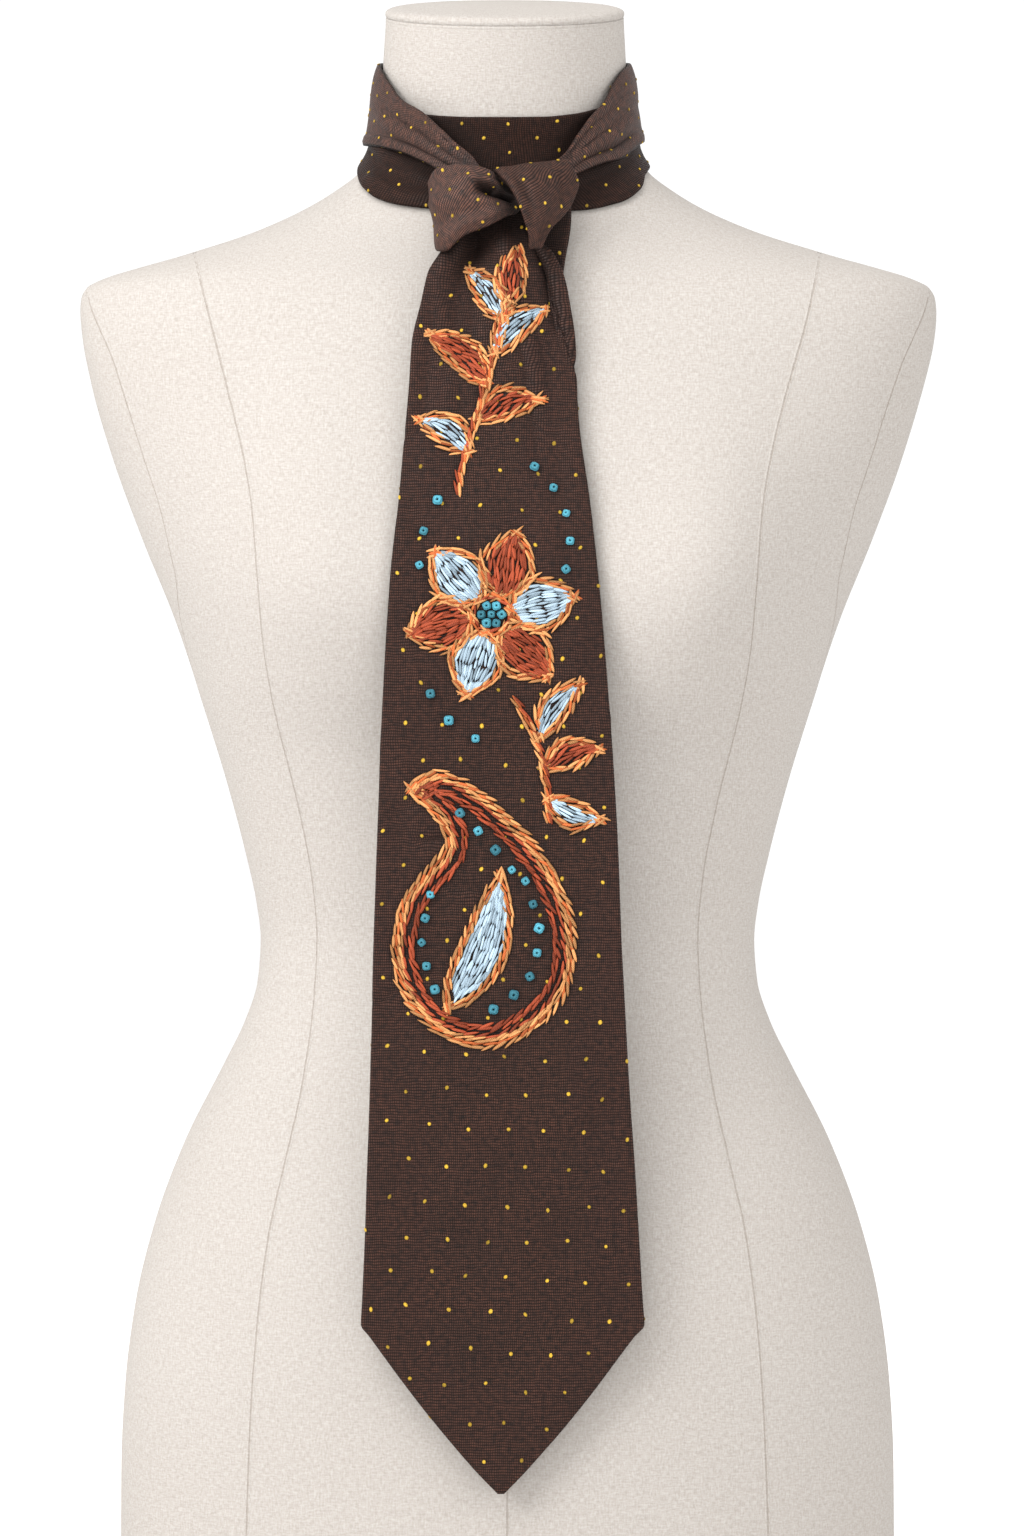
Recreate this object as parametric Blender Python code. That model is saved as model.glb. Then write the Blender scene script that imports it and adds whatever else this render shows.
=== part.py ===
"""A wide necktie, wound twice round the neck of a limbless dress form and knotted in front.

Tables are in millimetres and degrees, and meshes in metres. +Z is up, the front faces -Y, and
+X is on the right of someone who faces it. The origin is the middle of the form's flat base.
A turn is an angle round the form, 0 at its front and growing towards +X.
"""

import math
from collections import namedtuple

import bmesh
import bpy
import numpy as np

OBJECT_NAME = "necktie_on_dress_form"
MM = 0.001
BLADE_CLOTH = 3.0  # the wall of the tie's wide end: two faces of cloth and the interlining
TAIL_CLOTH = 3.0
KNOT_CLOTH = 3.0
NECK_CLOTH = 2.2  # the narrow middle of the tie, pressed flatter
GAP = 0.4  # between pieces that lie on each other
BUTT = 0.4  # degrees left between two stretches of one turn
BAND_STEP = 6.0  # degrees between the sections of a stretch that goes round the neck

# The form's outline from the front.
Outline = namedtuple("Outline", "height half_width")
FORM_OUTLINE = (
    Outline(0, 174.6),
    Outline(5, 177.4),
    Outline(36, 178.1),
    Outline(71, 177.9),
    Outline(108, 176.0),
    Outline(145, 171.2),
    Outline(181, 162.4),
    Outline(218, 148.6),
    Outline(255, 129.9),
    Outline(274, 120.7),
    Outline(292, 115.1),
    Outline(311, 113.7),
    Outline(329, 115.8),
    Outline(347, 119.7),
    Outline(384, 129.4),
    Outline(421, 140.7),
    Outline(458, 153.0),
    Outline(495, 168.0),
    Outline(532, 181.6),
    Outline(569, 192.4),
    Outline(588, 196.3),
    Outline(600, 197.3),
    Outline(606, 196.8),
    Outline(611, 194.2),
    Outline(615, 186.6),
    Outline(620, 170.5),
    Outline(624.5, 154.2),
    Outline(629, 139.4),
    Outline(633.5, 125.0),
    Outline(638, 112.6),
    Outline(647, 92.6),
    Outline(656, 77.4),
    Outline(664, 66.8),
    Outline(672, 61.4),
    Outline(680, 58.8),
    Outline(691, 57.2),
    Outline(717, 55.6),
    Outline(738, 54.4),
    Outline(760, 53.8),
)

# The form's outline from the side, how far its middle lies off centre, the depth of its widest
# place, and how square its sections are.
Profile = namedtuple("Profile", "height front back middle widest squareness")
FORM_PROFILE = (
    Profile(0, -110, 118, 0, 0, 2.3),
    Profile(60, -113, 122, 0, 0, 2.3),
    Profile(120, -115, 122, 0, 0, 2.3),
    Profile(170, -112, 112, 0, 0, 2.3),
    Profile(220, -103, 93, 0, 0, 2.3),
    Profile(270, -92, 74, 0, 0, 2.25),
    Profile(311, -88, 67, 0, 0, 2.2),
    Profile(350, -93, 70, 0, 0, 2.25),
    Profile(390, -102, 80, 0, 0, 2.3),
    Profile(430, -113.5, 93, 0, 0, 2.3),
    Profile(470, -117, 99, 0, 0, 2.35),
    Profile(510, -110, 104, 0, 0, 2.45),
    Profile(550, -100, 105, 0, 0, 2.55),
    Profile(590, -88, 98, 0.5, 0, 2.5),
    Profile(620, -76, 84, 0, 0, 2.15),
    Profile(650, -66, 67, -1.6, 0, 2.0),
    Profile(670, -64, 56, -1.5, -5, 2.0),
    Profile(700, -66, 46, -1.4, -10, 2.0),
    Profile(736, -70, 40, -1.2, -15, 2.0),
    Profile(760, -72, 37, -1.2, -17, 2.0),
)
FORM_POINTS = 48  # round a section

# The most height between two of the form's sections, from each height up.
Spacing = namedtuple("Spacing", "height step")
FORM_SPACING = (
    Spacing(0, 40),
    Spacing(384, 20),
    Spacing(647, 4.5),
    Spacing(680, 15),
)

# Each side of the bust is a soft swelling of the front.
BUST_RISE, BUST_HEIGHT, BUST_OFF_CENTRE = 21.0, 468.0, 95.0
BUST_REACH_ACROSS, BUST_REACH_UP, BUST_REACH_DOWN = 45.0, 66.0, 52.0

# The neck ends at a seam that dips towards the front, under a flat cap.
NECK_TILT = 10.5
NECK_TILT_FROM, NECK_SEAM, NECK_MIDDLE = 703.0, 734.2, -15.0
NECK_RADIUS = 55.0
TILT_PASSES = 4  # to find the height at which a tilted section meets the neck
CapRing = namedtuple("CapRing", "inset rise")
CAP_RINGS = (
    CapRing(1.2, 0.3),
    CapRing(-0.2, 1.3),
    CapRing(-0.2, 3.0),
    CapRing(1.0, 4.0),
    CapRing(3.4, 4.7),
    CapRing(12.0, 5.1),
)

# The turns round the neck. A stretch lifts off what lies under it as it nears the knot, and its
# top edge leans back towards the neck.
Turn = namedtuple("Turn", "turn bottom top lift lean")
INNER_TURN = (
    Turn(-180, 674, 714, 0, 0),
    Turn(-172, 674, 714, 0, 0),
    Turn(-90, 667, 700, 0, 0),
    Turn(-75, 662.4, 696, 0, 0),
    Turn(-63, 658.4, 692, 0, 0),
    Turn(-48, 652.0, 688, 0, 0),
    Turn(-37, 647.0, 686.5, 0, 0),
    Turn(-27, 643.8, 685.3, 0, 0),
    Turn(-15, 641.8, 684.5, 0, 0),
    Turn(0, 641.2, 684.3, 0, 0),
    Turn(16, 641.2, 684.6, 0, 0),
    Turn(32, 645.2, 686.5, 0, 0),
    Turn(47, 652.0, 690, 0, 0),
    Turn(63, 660.0, 694, 0, 0),
    Turn(90, 666.0, 700, 0, 0),
    Turn(172, 674, 714, 0, 0),
    Turn(180, 674, 714, 0, 0),
)
OUTER_TURN = (
    Turn(-180, 682, 724, 0, 1.0),
    Turn(-172, 682, 724, 0, 1.0),
    Turn(-110, 677.3, 715.5, 0, 1.3),
    Turn(-90, 675.5, 713, 0, 1.4),
    Turn(-77, 673.8, 709.2, 0.2, 1.4),
    Turn(-62, 672.8, 702, 0.6, 1.0),
    Turn(-46, 669.6, 693, 2.4, 0),
    Turn(-34, 665.2, 687.5, 5.4, 0),
    Turn(-23, 658.8, 678.6, 9.2, 0),
    Turn(-16, 654.2, 671, 11.6, 0),
    Turn(-10, 651, 664, 13, 0),
    Turn(-5, 648.5, 656, 13.8, 0),
    Turn(13, 650, 659, 10, 0),
    Turn(20, 653.6, 665, 9.4, 0),
    Turn(28, 657.6, 676, 7, 0),
    Turn(37, 661, 686, 4.4, 0),
    Turn(47, 664.2, 693, 2.2, 0.4),
    Turn(57, 668.4, 701.5, 0.8, 1.2),
    Turn(70, 673.4, 708.6, 0.2, 1.5),
    Turn(88, 676.6, 713, 0, 1.6),
    Turn(110, 678, 715.5, 0, 1.4),
    Turn(172, 682, 724, 0, 1.0),
    Turn(180, 682, 724, 0, 1.0),
)
LEAN_POWER = 6  # a high power keeps the lean near the top edge
NECK_BAND_WIDTH = 41.0
NECK_BAND_COLUMNS = 6
INNER_SIDE = 90.0  # where the inner turn's two stretches meet
OUTER_SIDE = 115.0  # where the outer turn's stretches meet, and where it enters the knot on each side
OUTER_LEFT_END, OUTER_RIGHT_END = -5.0, 13.0

# The wide blade, from inside the knot to its point. Back is the depth of its back face.
Blade = namedtuple("Blade", "height left right back")
BLADE = (
    Blade(640, -22, 13, -82.1),
    Blade(632, -25, 13.5, -83.2),
    Blade(625, -26.5, 16, -84.6),
    Blade(619, -30.0, 20.3, -86.2),
    Blade(611, -35.2, 24.4, -88.6),
    Blade(598, -38.5, 27.4, -92.2),
    Blade(580, -42.5, 30.0, -97.0),
    Blade(561, -43.8, 30.9, -102.2),
    Blade(545, -45.1, 31.8, -106.4),
    Blade(509, -48.2, 36.6, -115.6),
    Blade(490, -50.4, 38.8, -120.1),
    Blade(473, -52.1, 40.6, -122.8),
    Blade(420, -55.2, 45.0, -124.0),
    Blade(367, -57.4, 48.5, -123.8),
    Blade(314, -59.2, 50.7, -123.8),
    Blade(261, -60.5, 53.4, -123.6),
    Blade(207, -62.3, 56.9, -123.2),
    Blade(154, -64.3, 60.1, -122.6),
    Blade(143, -64.9, 60.9, -122.5),
    Blade(138, -61.2, 56.6, -122.5),
    Blade(118, -46.5, 41.6, -122.2),
    Blade(100, -32.4, 27.3, -121.8),
    Blade(82, -17.4, 11.6, -121.4),
    Blade(68.1, -4.4, -1.4, -121),
)
BLADE_WIDTH, BLADE_COLUMNS, BLADE_STEP = 100.0, 15, 15.0

# Soft rolls in the blade under the knot. Place and reach are shares of its half width. They
# start inside the knot, are full just below it and fade on the way down.
Roll = namedtuple("Roll", "place reach rise")
BLADE_ROLLS = (
    Roll(-0.55, 0.30, 4.0),
    Roll(-0.10, 0.18, -3.4),
    Roll(0.36, 0.26, 4.6),
    Roll(0.78, 0.13, -2.4),
)
ROLLS_FROM, ROLLS_FULL, ROLLS_TO, ROLLS_FADE_POWER = 652.0, 622.0, 540.0, 1.5

# The narrow end behind the blade.
TAIL = (
    Blade(645, -20, 29.0, -71.0),
    Blade(636, -21, 28.8, -72.0),
    Blade(628, -22, 27.9, -74.0),
    Blade(620, -22.5, 26.4, -76.8),
    Blade(605, -24, 24.7, -82.9),
    Blade(590, -24.8, 24.6, -88.7),
    Blade(550, -26.5, 24.5, -100.9),
    Blade(520, -27.3, 24.2, -109.3),
    Blade(500, -27.8, 23.9, -114.4),
    Blade(484, -28.2, 23.7, -118.0),
    Blade(468, -28.5, 23.5, -119.3),
    Blade(430, -29, 23, -119.7),
    Blade(402, -29.4, 22.8, -119.6),
    Blade(386, -16, 10, -119.4),
    Blade(371, -4.4, -1.4, -119.2),
)
TAIL_WIDTH, TAIL_COLUMNS, TAIL_STEP = 50.0, 9, 20.0

# The knot: a panel that wraps over from the left, and a flap that comes down over it.
# Each row is a section between two points on the panel's outside, and bulge is how far it swells.
Fold = namedtuple("Fold", "x1 y1 z1 x2 y2 z2 bulge")
KNOT_WRAP = (
    Fold(-31.0, -69.5, 655.0, -29.2, -77.5, 628.0, 0.0),
    Fold(-36.0, -78.0, 654.5, -32.2, -86.5, 621.8, 1.0),
    Fold(-32.6, -88.0, 659.4, -28.0, -97.5, 621.0, 2.5),
    Fold(-23.5, -93.0, 661.0, -19.0, -100.5, 627.7, 3.0),
    Fold(-14.6, -95.0, 660.4, -7.8, -100.5, 632.2, 2.5),
    Fold(-6.9, -94.5, 657.8, 0.2, -98.0, 636.9, 0.5),
    Fold(-3.4, -92.0, 653.8, 4.7, -95.0, 639.6, -1.0),
    Fold(0.4, -90.0, 650.6, 7.0, -92.5, 642.4, -0.5),
)
KNOT_FLAP = (
    Fold(-4.3, -85.0, 657.4, 27.2, -79.0, 663.0, 0.5),
    Fold(-6.1, -91.0, 658.8, 27.4, -84.2, 663.8, 2.0),
    Fold(-3.4, -98.0, 654.9, 30.6, -87.3, 659.0, 3.5),
    Fold(0.2, -101.0, 650.1, 33.0, -86.0, 652.4, 4.2),
    Fold(3.8, -103.5, 643.6, 31.2, -87.0, 646.2, 4.0),
    Fold(6.5, -105.0, 636.3, 27.1, -92.0, 638.7, 3.0),
    Fold(9.1, -104.5, 628.6, 19.9, -99.0, 630.8, 1.2),
    Fold(10.2, -103.4, 621.6, 15.6, -101.4, 622.2, 0.0),
)
KNOT_PANEL_WIDTH, KNOT_COLUMNS, KNOT_SECTIONS = 34.0, 9, 20
SWELL_POWER = 2.5  # a high power keeps a fold's swell full to near its edges

# The layers inside the knot, as one rounded solid.
Core = namedtuple("Core", "height left right front back")
KNOT_CORE = (
    Core(629, -15, 14, -81.4, -79.2),
    Core(636, -20, 21, -80.7, -77.8),
    Core(641, -24, 26, -80.5, -76.9),
    Core(645, -25, 28, -84.0, -76.8),
    Core(650.8, -20, 24, -85.4, -80.2),
)
CORE_SQUARENESS = 4.0
CORE_POINTS = 24

SHARP_ANGLE = 40.0
COVER_COLOUR, COVER_ROUGHNESS = (0.80, 0.76, 0.71, 1.0), 0.9
TIE_COLOUR, TIE_ROUGHNESS = (0.068, 0.034, 0.027, 1.0), 0.75


def smooth(rows, column, at):
    """A smooth line through a table's column, over its first column, that overshoots no row."""
    order = sorted(rows)
    place = np.array([row[0] for row in order], float)
    value = np.array([getattr(row, column) for row in order], float)
    slope = np.diff(value) / np.diff(place)
    product = slope[:-1] * slope[1:]
    total = slope[:-1] + slope[1:]
    inside = np.where(product > 0, 2 * product / np.where(total == 0, 1, total), 0)
    slopes = np.concatenate(([slope[0]], inside, [slope[-1]]))
    k = np.clip(np.searchsorted(place, at) - 1, 0, len(place) - 2)
    width = place[k + 1] - place[k]
    t = np.clip((at - place[k]) / width, 0, 1)
    return (
        value[k] * (1 + 2 * t) * (1 - t) ** 2
        + slopes[k] * width * t * (1 - t) ** 2
        + value[k + 1] * t * t * (3 - 2 * t)
        + slopes[k + 1] * width * t * t * (t - 1)
    )


def bust(x, height):
    """How far the bust stands out of the front's plain curve."""
    above = height - BUST_HEIGHT
    reach = np.where(above > 0, BUST_REACH_UP, BUST_REACH_DOWN)
    across = (np.abs(x) - BUST_OFF_CENTRE) / BUST_REACH_ACROSS
    return BUST_RISE * np.exp(-(across**2) - (above / reach) ** 2)


def on_form(turn, height, gap=0.0):
    """Points of the form's cover, or this far out from it."""
    turn, height = np.broadcast_arrays(turn, height)
    point = form_surface(turn, height)
    if not np.any(gap):
        return point
    small = 0.5  # a degree's or a millimetre's step to each side
    along = form_surface(turn + small, height) - form_surface(turn - small, height)
    upward = form_surface(turn, height + small) - form_surface(turn, height - small)
    normal = np.cross(along, upward)
    normal /= np.linalg.norm(normal, axis=-1, keepdims=True)
    return point + normal * np.expand_dims(gap, -1)


def form_surface(turn, height):
    side, ahead = np.sin(np.radians(turn)), np.cos(np.radians(turn))
    power = 2 / smooth(FORM_PROFILE, "squareness", height)
    x = smooth(FORM_OUTLINE, "half_width", height) * np.sign(side) * np.abs(side) ** power
    middle = smooth(FORM_PROFILE, "middle", height)
    widest = smooth(FORM_PROFILE, "widest", height)
    end = np.where(
        ahead > 0,
        smooth(FORM_PROFILE, "front", height),
        smooth(FORM_PROFILE, "back", height),
    )
    y = widest + (end - widest) * np.abs(ahead) ** power
    y = y - bust(x, height) * np.sqrt(np.clip(ahead, 0, 1))
    return np.stack((x + middle, y, height), axis=-1)


def form_ring(level):
    """The form's section at a level, which tilts towards the front as it nears the neck's seam."""
    share = max(0.0, level - NECK_TILT_FROM) / (NECK_SEAM - NECK_TILT_FROM)
    slope = math.tan(math.radians(NECK_TILT)) * share
    turns = np.arange(FORM_POINTS) * 360 / FORM_POINTS
    height = np.full(FORM_POINTS, float(level))
    for _ in range(TILT_PASSES):
        points = form_surface(turns, height)
        height = level + slope * (points[:, 1] - NECK_MIDDLE)
    return form_surface(turns, height)


def form_levels():
    """The heights of the form's sections: its outline's rows, with more between rows far apart."""
    heights = [row.height for row in FORM_OUTLINE if row.height < NECK_SEAM]
    levels = []
    for low, high in zip(heights, heights[1:] + [NECK_SEAM]):
        step = [row.step for row in FORM_SPACING if row.height <= low][-1]
        steps = math.ceil((high - low) / step)
        levels += list(np.linspace(low, high, steps, endpoint=False))
    return levels + [NECK_SEAM]


def across(width, cloth, inside):
    """Places across a band, as shares of its width, and how thick it is at each.

    The first and last places are the band's edges, which are half round.
    """
    radius = cloth / 2
    bend = radius * (1 - math.sqrt(0.5))
    middle = np.linspace(radius, width - radius, inside)
    places = np.concatenate(([0, bend], middle, [width - bend, width])) / width
    share = np.concatenate(([0, math.sqrt(0.5)], np.ones(inside), [math.sqrt(0.5), 0]))
    return places, cloth * share


def normals(grid):
    """Unit normals of a grid of points, one for each point, turned away from the form."""
    along = np.gradient(grid, axis=0)
    over = np.gradient(grid, axis=1)
    normal = np.cross(along, over)
    normal /= np.linalg.norm(normal, axis=-1, keepdims=True)
    middle = grid[len(grid) // 2, grid.shape[1] // 2]
    outward = normal[len(grid) // 2, grid.shape[1] // 2]
    away = np.array((middle[0], middle[1], 0.0))
    return normal if outward @ away > 0 else -normal


def wall_rings(grid, thickness, outside):
    """Closed sections of a wall of cloth, from the grid of its outside or of its inside."""
    normal = normals(grid)
    half = thickness.max() / 2
    middle = grid + normal * (-half if outside else half)
    offset = normal * thickness[None, :, None] / 2
    front, back = middle + offset, middle - offset
    return [np.concatenate((f, b[-2:0:-1])) for f, b in zip(front, back)]


def loft(name, rings, material):
    """One closed solid through rings of points, each with the same number of points."""
    mesh = bpy.data.meshes.new(name)
    bm = bmesh.new()
    loops = [[bm.verts.new(point * MM) for point in ring] for ring in rings]
    for low, high in zip(loops, loops[1:]):
        for k in range(len(low)):
            after = (k + 1) % len(low)
            bm.faces.new((low[k], low[after], high[after], high[k]))
    bm.faces.new(loops[0])
    bm.faces.new(loops[-1])
    bmesh.ops.recalc_face_normals(bm, faces=bm.faces)
    bm.to_mesh(mesh)
    bm.free()
    mesh.shade_smooth()
    mesh.set_sharp_from_angle(angle=math.radians(SHARP_ANGLE))
    mesh.materials.append(material)
    piece = bpy.data.objects.new(name, mesh)
    collection_of(OBJECT_NAME).objects.link(piece)
    return piece


def collection_of(name):
    found = bpy.data.collections.get(name)
    if found is None:
        found = bpy.data.collections.new(name)
        bpy.context.scene.collection.children.link(found)
    return found


def matt(name, colour, roughness):
    material = bpy.data.materials.new(name)
    material.use_nodes = True
    shader = material.node_tree.nodes["Principled BSDF"]
    shader.inputs["Base Color"].default_value = colour
    shader.inputs["Roughness"].default_value = roughness
    shader.inputs["Metallic"].default_value = 0.0
    return material


def cover(piece):
    return matt(f"{piece}_cover", COVER_COLOUR, COVER_ROUGHNESS)


def tie_cloth(piece):
    return matt(f"{piece}_cloth", TIE_COLOUR, TIE_ROUGHNESS)


def make_form():
    name = "form_body"
    loft(name, [form_ring(level) for level in form_levels()], cover(name))


def make_neck_cap():
    name = "form_neck_cap"
    seam = form_ring(NECK_SEAM)
    centre = seam.mean(axis=0)
    tilt = math.radians(NECK_TILT)
    up = np.array((0.0, -math.sin(tilt), math.cos(tilt)))
    rings = [
        centre + (seam - centre) * (1 - ring.inset / NECK_RADIUS) + up * ring.rise
        for ring in CAP_RINGS
    ]
    loft(name, rings, cover(name))


def make_turn(name, rows, under, start, stop):
    """A stretch of a turn round the neck, between two angles, over what lies under it."""
    turns = np.linspace(start, stop, math.ceil((stop - start) / BAND_STEP) + 1)
    wrapped = (turns + 180) % 360 - 180
    places, thickness = across(NECK_BAND_WIDTH, NECK_CLOTH, NECK_BAND_COLUMNS)
    bottom = smooth(rows, "bottom", wrapped)[:, None]
    top = smooth(rows, "top", wrapped)[:, None]
    gap = under + smooth(rows, "lift", wrapped)[:, None]
    gap = gap - smooth(rows, "lean", wrapped)[:, None] * places**LEAN_POWER
    grid = on_form(turns[:, None], bottom + (top - bottom) * places, gap)
    loft(name, wall_rings(grid, thickness, outside=False), tie_cloth(name))


def hanging_grid(rows, heights, places):
    left = smooth(rows, "left", heights)[:, None]
    right = smooth(rows, "right", heights)[:, None]
    x = left + (right - left) * places
    y = smooth(rows, "back", heights)[:, None] + 0 * places
    z = heights[:, None] + 0 * places
    return np.stack((x, y, z), axis=-1)


def fall_heights(rows, step):
    """Heights down a hanging piece: its table's rows, with more between rows far apart."""
    heights = [row.height for row in rows]
    steps = [math.ceil((a - b) / step) for a, b in zip(heights, heights[1:])]
    spans = zip(heights, heights[1:], steps)
    inner = [np.linspace(a, b, n, endpoint=False) for a, b, n in spans]
    return np.concatenate(inner + [[heights[-1]]])


def rolls(places, heights):
    """How far the soft rolls under the knot lift the blade."""
    side = 2 * places - 1
    waves = sum(roll.rise * np.exp(-(((side - roll.place) / roll.reach) ** 2)) for roll in BLADE_ROLLS)
    start = np.clip((ROLLS_FROM - heights) / (ROLLS_FROM - ROLLS_FULL), 0, 1)
    fade = np.clip((heights - ROLLS_TO) / (ROLLS_FULL - ROLLS_TO), 0, 1) ** ROLLS_FADE_POWER
    return waves * (start * fade)[:, None]


def make_blade():
    name = "blade_front"
    heights = fall_heights(BLADE, BLADE_STEP)
    places, thickness = across(BLADE_WIDTH, BLADE_CLOTH, BLADE_COLUMNS)
    grid = hanging_grid(BLADE, heights, places)
    grid[..., 1] -= rolls(places, heights)
    loft(name, wall_rings(grid, thickness, outside=False), tie_cloth(name))


def make_tail():
    name = "tail_behind"
    heights = fall_heights(TAIL, TAIL_STEP)
    places, thickness = across(TAIL_WIDTH, TAIL_CLOTH, TAIL_COLUMNS)
    grid = hanging_grid(TAIL, heights, places)
    loft(name, wall_rings(grid, thickness, outside=False), tie_cloth(name))


def make_knot_panel(name, rows):
    """A panel of the knot, with smooth lines through its rows' ends and a swell between them."""
    row_of = namedtuple("row_of", ("number",) + Fold._fields)
    numbered = [row_of(number, *row) for number, row in enumerate(rows)]
    at = np.linspace(0, len(rows) - 1, KNOT_SECTIONS)
    column = {field: smooth(numbered, field, at)[:, None] for field in Fold._fields}
    places, thickness = across(KNOT_PANEL_WIDTH, KNOT_CLOTH, KNOT_COLUMNS)
    ends = zip(("x1", "y1", "z1"), ("x2", "y2", "z2"))
    grid = np.stack(
        [column[one] + (column[two] - column[one]) * places for one, two in ends], axis=-1
    )
    swell = 1 - np.abs(2 * places - 1) ** SWELL_POWER
    grid[..., 1] -= column["bulge"] * swell
    loft(name, wall_rings(grid, thickness, outside=True), tie_cloth(name))


def make_knot_core():
    name = "knot_core"
    turns = np.radians(np.arange(CORE_POINTS) * 360 / CORE_POINTS)
    power = 2 / CORE_SQUARENESS
    side = np.sign(np.sin(turns)) * np.abs(np.sin(turns)) ** power
    ahead = np.sign(np.cos(turns)) * np.abs(np.cos(turns)) ** power
    rings = []
    for row in KNOT_CORE:
        x = (row.left + row.right) / 2 + side * (row.right - row.left) / 2
        y = (row.front + row.back) / 2 + ahead * (row.front - row.back) / 2
        rings.append(np.stack((x, y, np.full(CORE_POINTS, float(row.height))), axis=-1))
    loft(name, rings, tie_cloth(name))


def main():
    for leftover in list(bpy.data.objects):
        bpy.data.objects.remove(leftover)
    make_form()
    make_neck_cap()
    make_turn("inner_turn_front", INNER_TURN, GAP, -INNER_SIDE, INNER_SIDE)
    make_turn("inner_turn_back", INNER_TURN, GAP, INNER_SIDE + BUTT, 360 - INNER_SIDE - BUTT)
    over = GAP + NECK_CLOTH + GAP
    make_turn("outer_turn_left", OUTER_TURN, over, -OUTER_SIDE, OUTER_LEFT_END)
    make_turn("outer_turn_back", OUTER_TURN, over, OUTER_SIDE + BUTT, 360 - OUTER_SIDE - BUTT)
    make_turn("outer_turn_right", OUTER_TURN, over, OUTER_RIGHT_END, OUTER_SIDE)
    make_tail()
    make_knot_core()
    make_blade()
    make_knot_panel("knot_wrap", KNOT_WRAP)
    make_knot_panel("knot_flap", KNOT_FLAP)


main()
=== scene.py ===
"""A wide embroidered necktie, wound twice round the neck of a limbless dress form.

Tables are in millimetres and degrees, and meshes in metres. +Z is up, the front faces -Y, and
a turn is an angle round the form, 0 at its front and growing towards +X.
"""

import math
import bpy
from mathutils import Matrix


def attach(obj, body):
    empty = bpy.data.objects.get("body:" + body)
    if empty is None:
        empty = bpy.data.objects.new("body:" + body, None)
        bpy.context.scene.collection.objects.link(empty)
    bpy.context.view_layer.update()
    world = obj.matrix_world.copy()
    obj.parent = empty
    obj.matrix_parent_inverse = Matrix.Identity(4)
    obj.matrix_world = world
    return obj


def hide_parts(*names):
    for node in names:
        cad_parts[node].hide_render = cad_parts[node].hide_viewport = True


bl_info = {
    "name": "Necktie on a dress form",
    "version": (1, 0, 0),
    "blender": (4, 5, 0),
    "location": "3D View > Sidebar > Necktie",
    "description": "Builds an embroidered necktie on a dress form, piece by piece",
    "category": "Add Mesh",
}

from collections import namedtuple

import bmesh
import bpy
import numpy as np
from bpy.props import (
    FloatProperty,
    FloatVectorProperty,
    IntProperty,
    PointerProperty,
)

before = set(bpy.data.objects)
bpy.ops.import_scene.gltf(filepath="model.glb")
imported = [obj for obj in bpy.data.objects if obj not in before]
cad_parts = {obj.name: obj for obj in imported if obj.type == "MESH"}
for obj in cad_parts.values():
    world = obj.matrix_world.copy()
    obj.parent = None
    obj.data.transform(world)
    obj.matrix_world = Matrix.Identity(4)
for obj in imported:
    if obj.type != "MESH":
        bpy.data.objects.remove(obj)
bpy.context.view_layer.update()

MM = 0.001
BODY = "root"
BLADE_CLOTH = 3.0  # the tie's wide end: two faces of cloth and the interlining
TAIL_CLOTH = 3.0
KNOT_CLOTH = 3.0
NECK_CLOTH = 2.2  # the narrow middle of the tie, pressed flatter
FACE_CLOTH = 0.5  # the woven face alone
GAP = 0.4  # between pieces that lie on each other
BAND_EDGE_STEPS = 4  # round a quarter of a fold's round edge

# The dress form, as in the solids.
Outline = namedtuple("Outline", "height half_width")
FORM_OUTLINE = (
    Outline(0, 174.6),
    Outline(5, 177.4),
    Outline(36, 178.1),
    Outline(71, 177.9),
    Outline(108, 176.0),
    Outline(145, 171.2),
    Outline(181, 162.4),
    Outline(218, 148.6),
    Outline(255, 129.9),
    Outline(274, 120.7),
    Outline(292, 115.1),
    Outline(311, 113.7),
    Outline(329, 115.8),
    Outline(347, 119.7),
    Outline(384, 129.4),
    Outline(421, 140.7),
    Outline(458, 153.0),
    Outline(495, 168.0),
    Outline(532, 181.6),
    Outline(569, 192.4),
    Outline(588, 196.3),
    Outline(600, 197.3),
    Outline(606, 196.8),
    Outline(611, 194.2),
    Outline(615, 186.6),
    Outline(620, 170.5),
    Outline(624.5, 154.2),
    Outline(629, 139.4),
    Outline(633.5, 125.0),
    Outline(638, 112.6),
    Outline(647, 92.6),
    Outline(656, 77.4),
    Outline(664, 66.8),
    Outline(672, 61.4),
    Outline(680, 58.8),
    Outline(691, 57.2),
    Outline(717, 55.6),
    Outline(738, 54.4),
    Outline(760, 53.8),
)
Profile = namedtuple("Profile", "height front back middle widest squareness")
FORM_PROFILE = (
    Profile(0, -110, 118, 0, 0, 2.3),
    Profile(60, -113, 122, 0, 0, 2.3),
    Profile(120, -115, 122, 0, 0, 2.3),
    Profile(170, -112, 112, 0, 0, 2.3),
    Profile(220, -103, 93, 0, 0, 2.3),
    Profile(270, -92, 74, 0, 0, 2.25),
    Profile(311, -88, 67, 0, 0, 2.2),
    Profile(350, -93, 70, 0, 0, 2.25),
    Profile(390, -102, 80, 0, 0, 2.3),
    Profile(430, -113.5, 93, 0, 0, 2.3),
    Profile(470, -117, 99, 0, 0, 2.35),
    Profile(510, -110, 104, 0, 0, 2.45),
    Profile(550, -100, 105, 0, 0, 2.55),
    Profile(590, -88, 98, 0.5, 0, 2.5),
    Profile(620, -76, 84, 0, 0, 2.15),
    Profile(650, -66, 67, -1.6, 0, 2.0),
    Profile(670, -64, 56, -1.5, -5, 2.0),
    Profile(700, -66, 46, -1.4, -10, 2.0),
    Profile(736, -70, 40, -1.2, -15, 2.0),
    Profile(760, -72, 37, -1.2, -17, 2.0),
)
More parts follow.
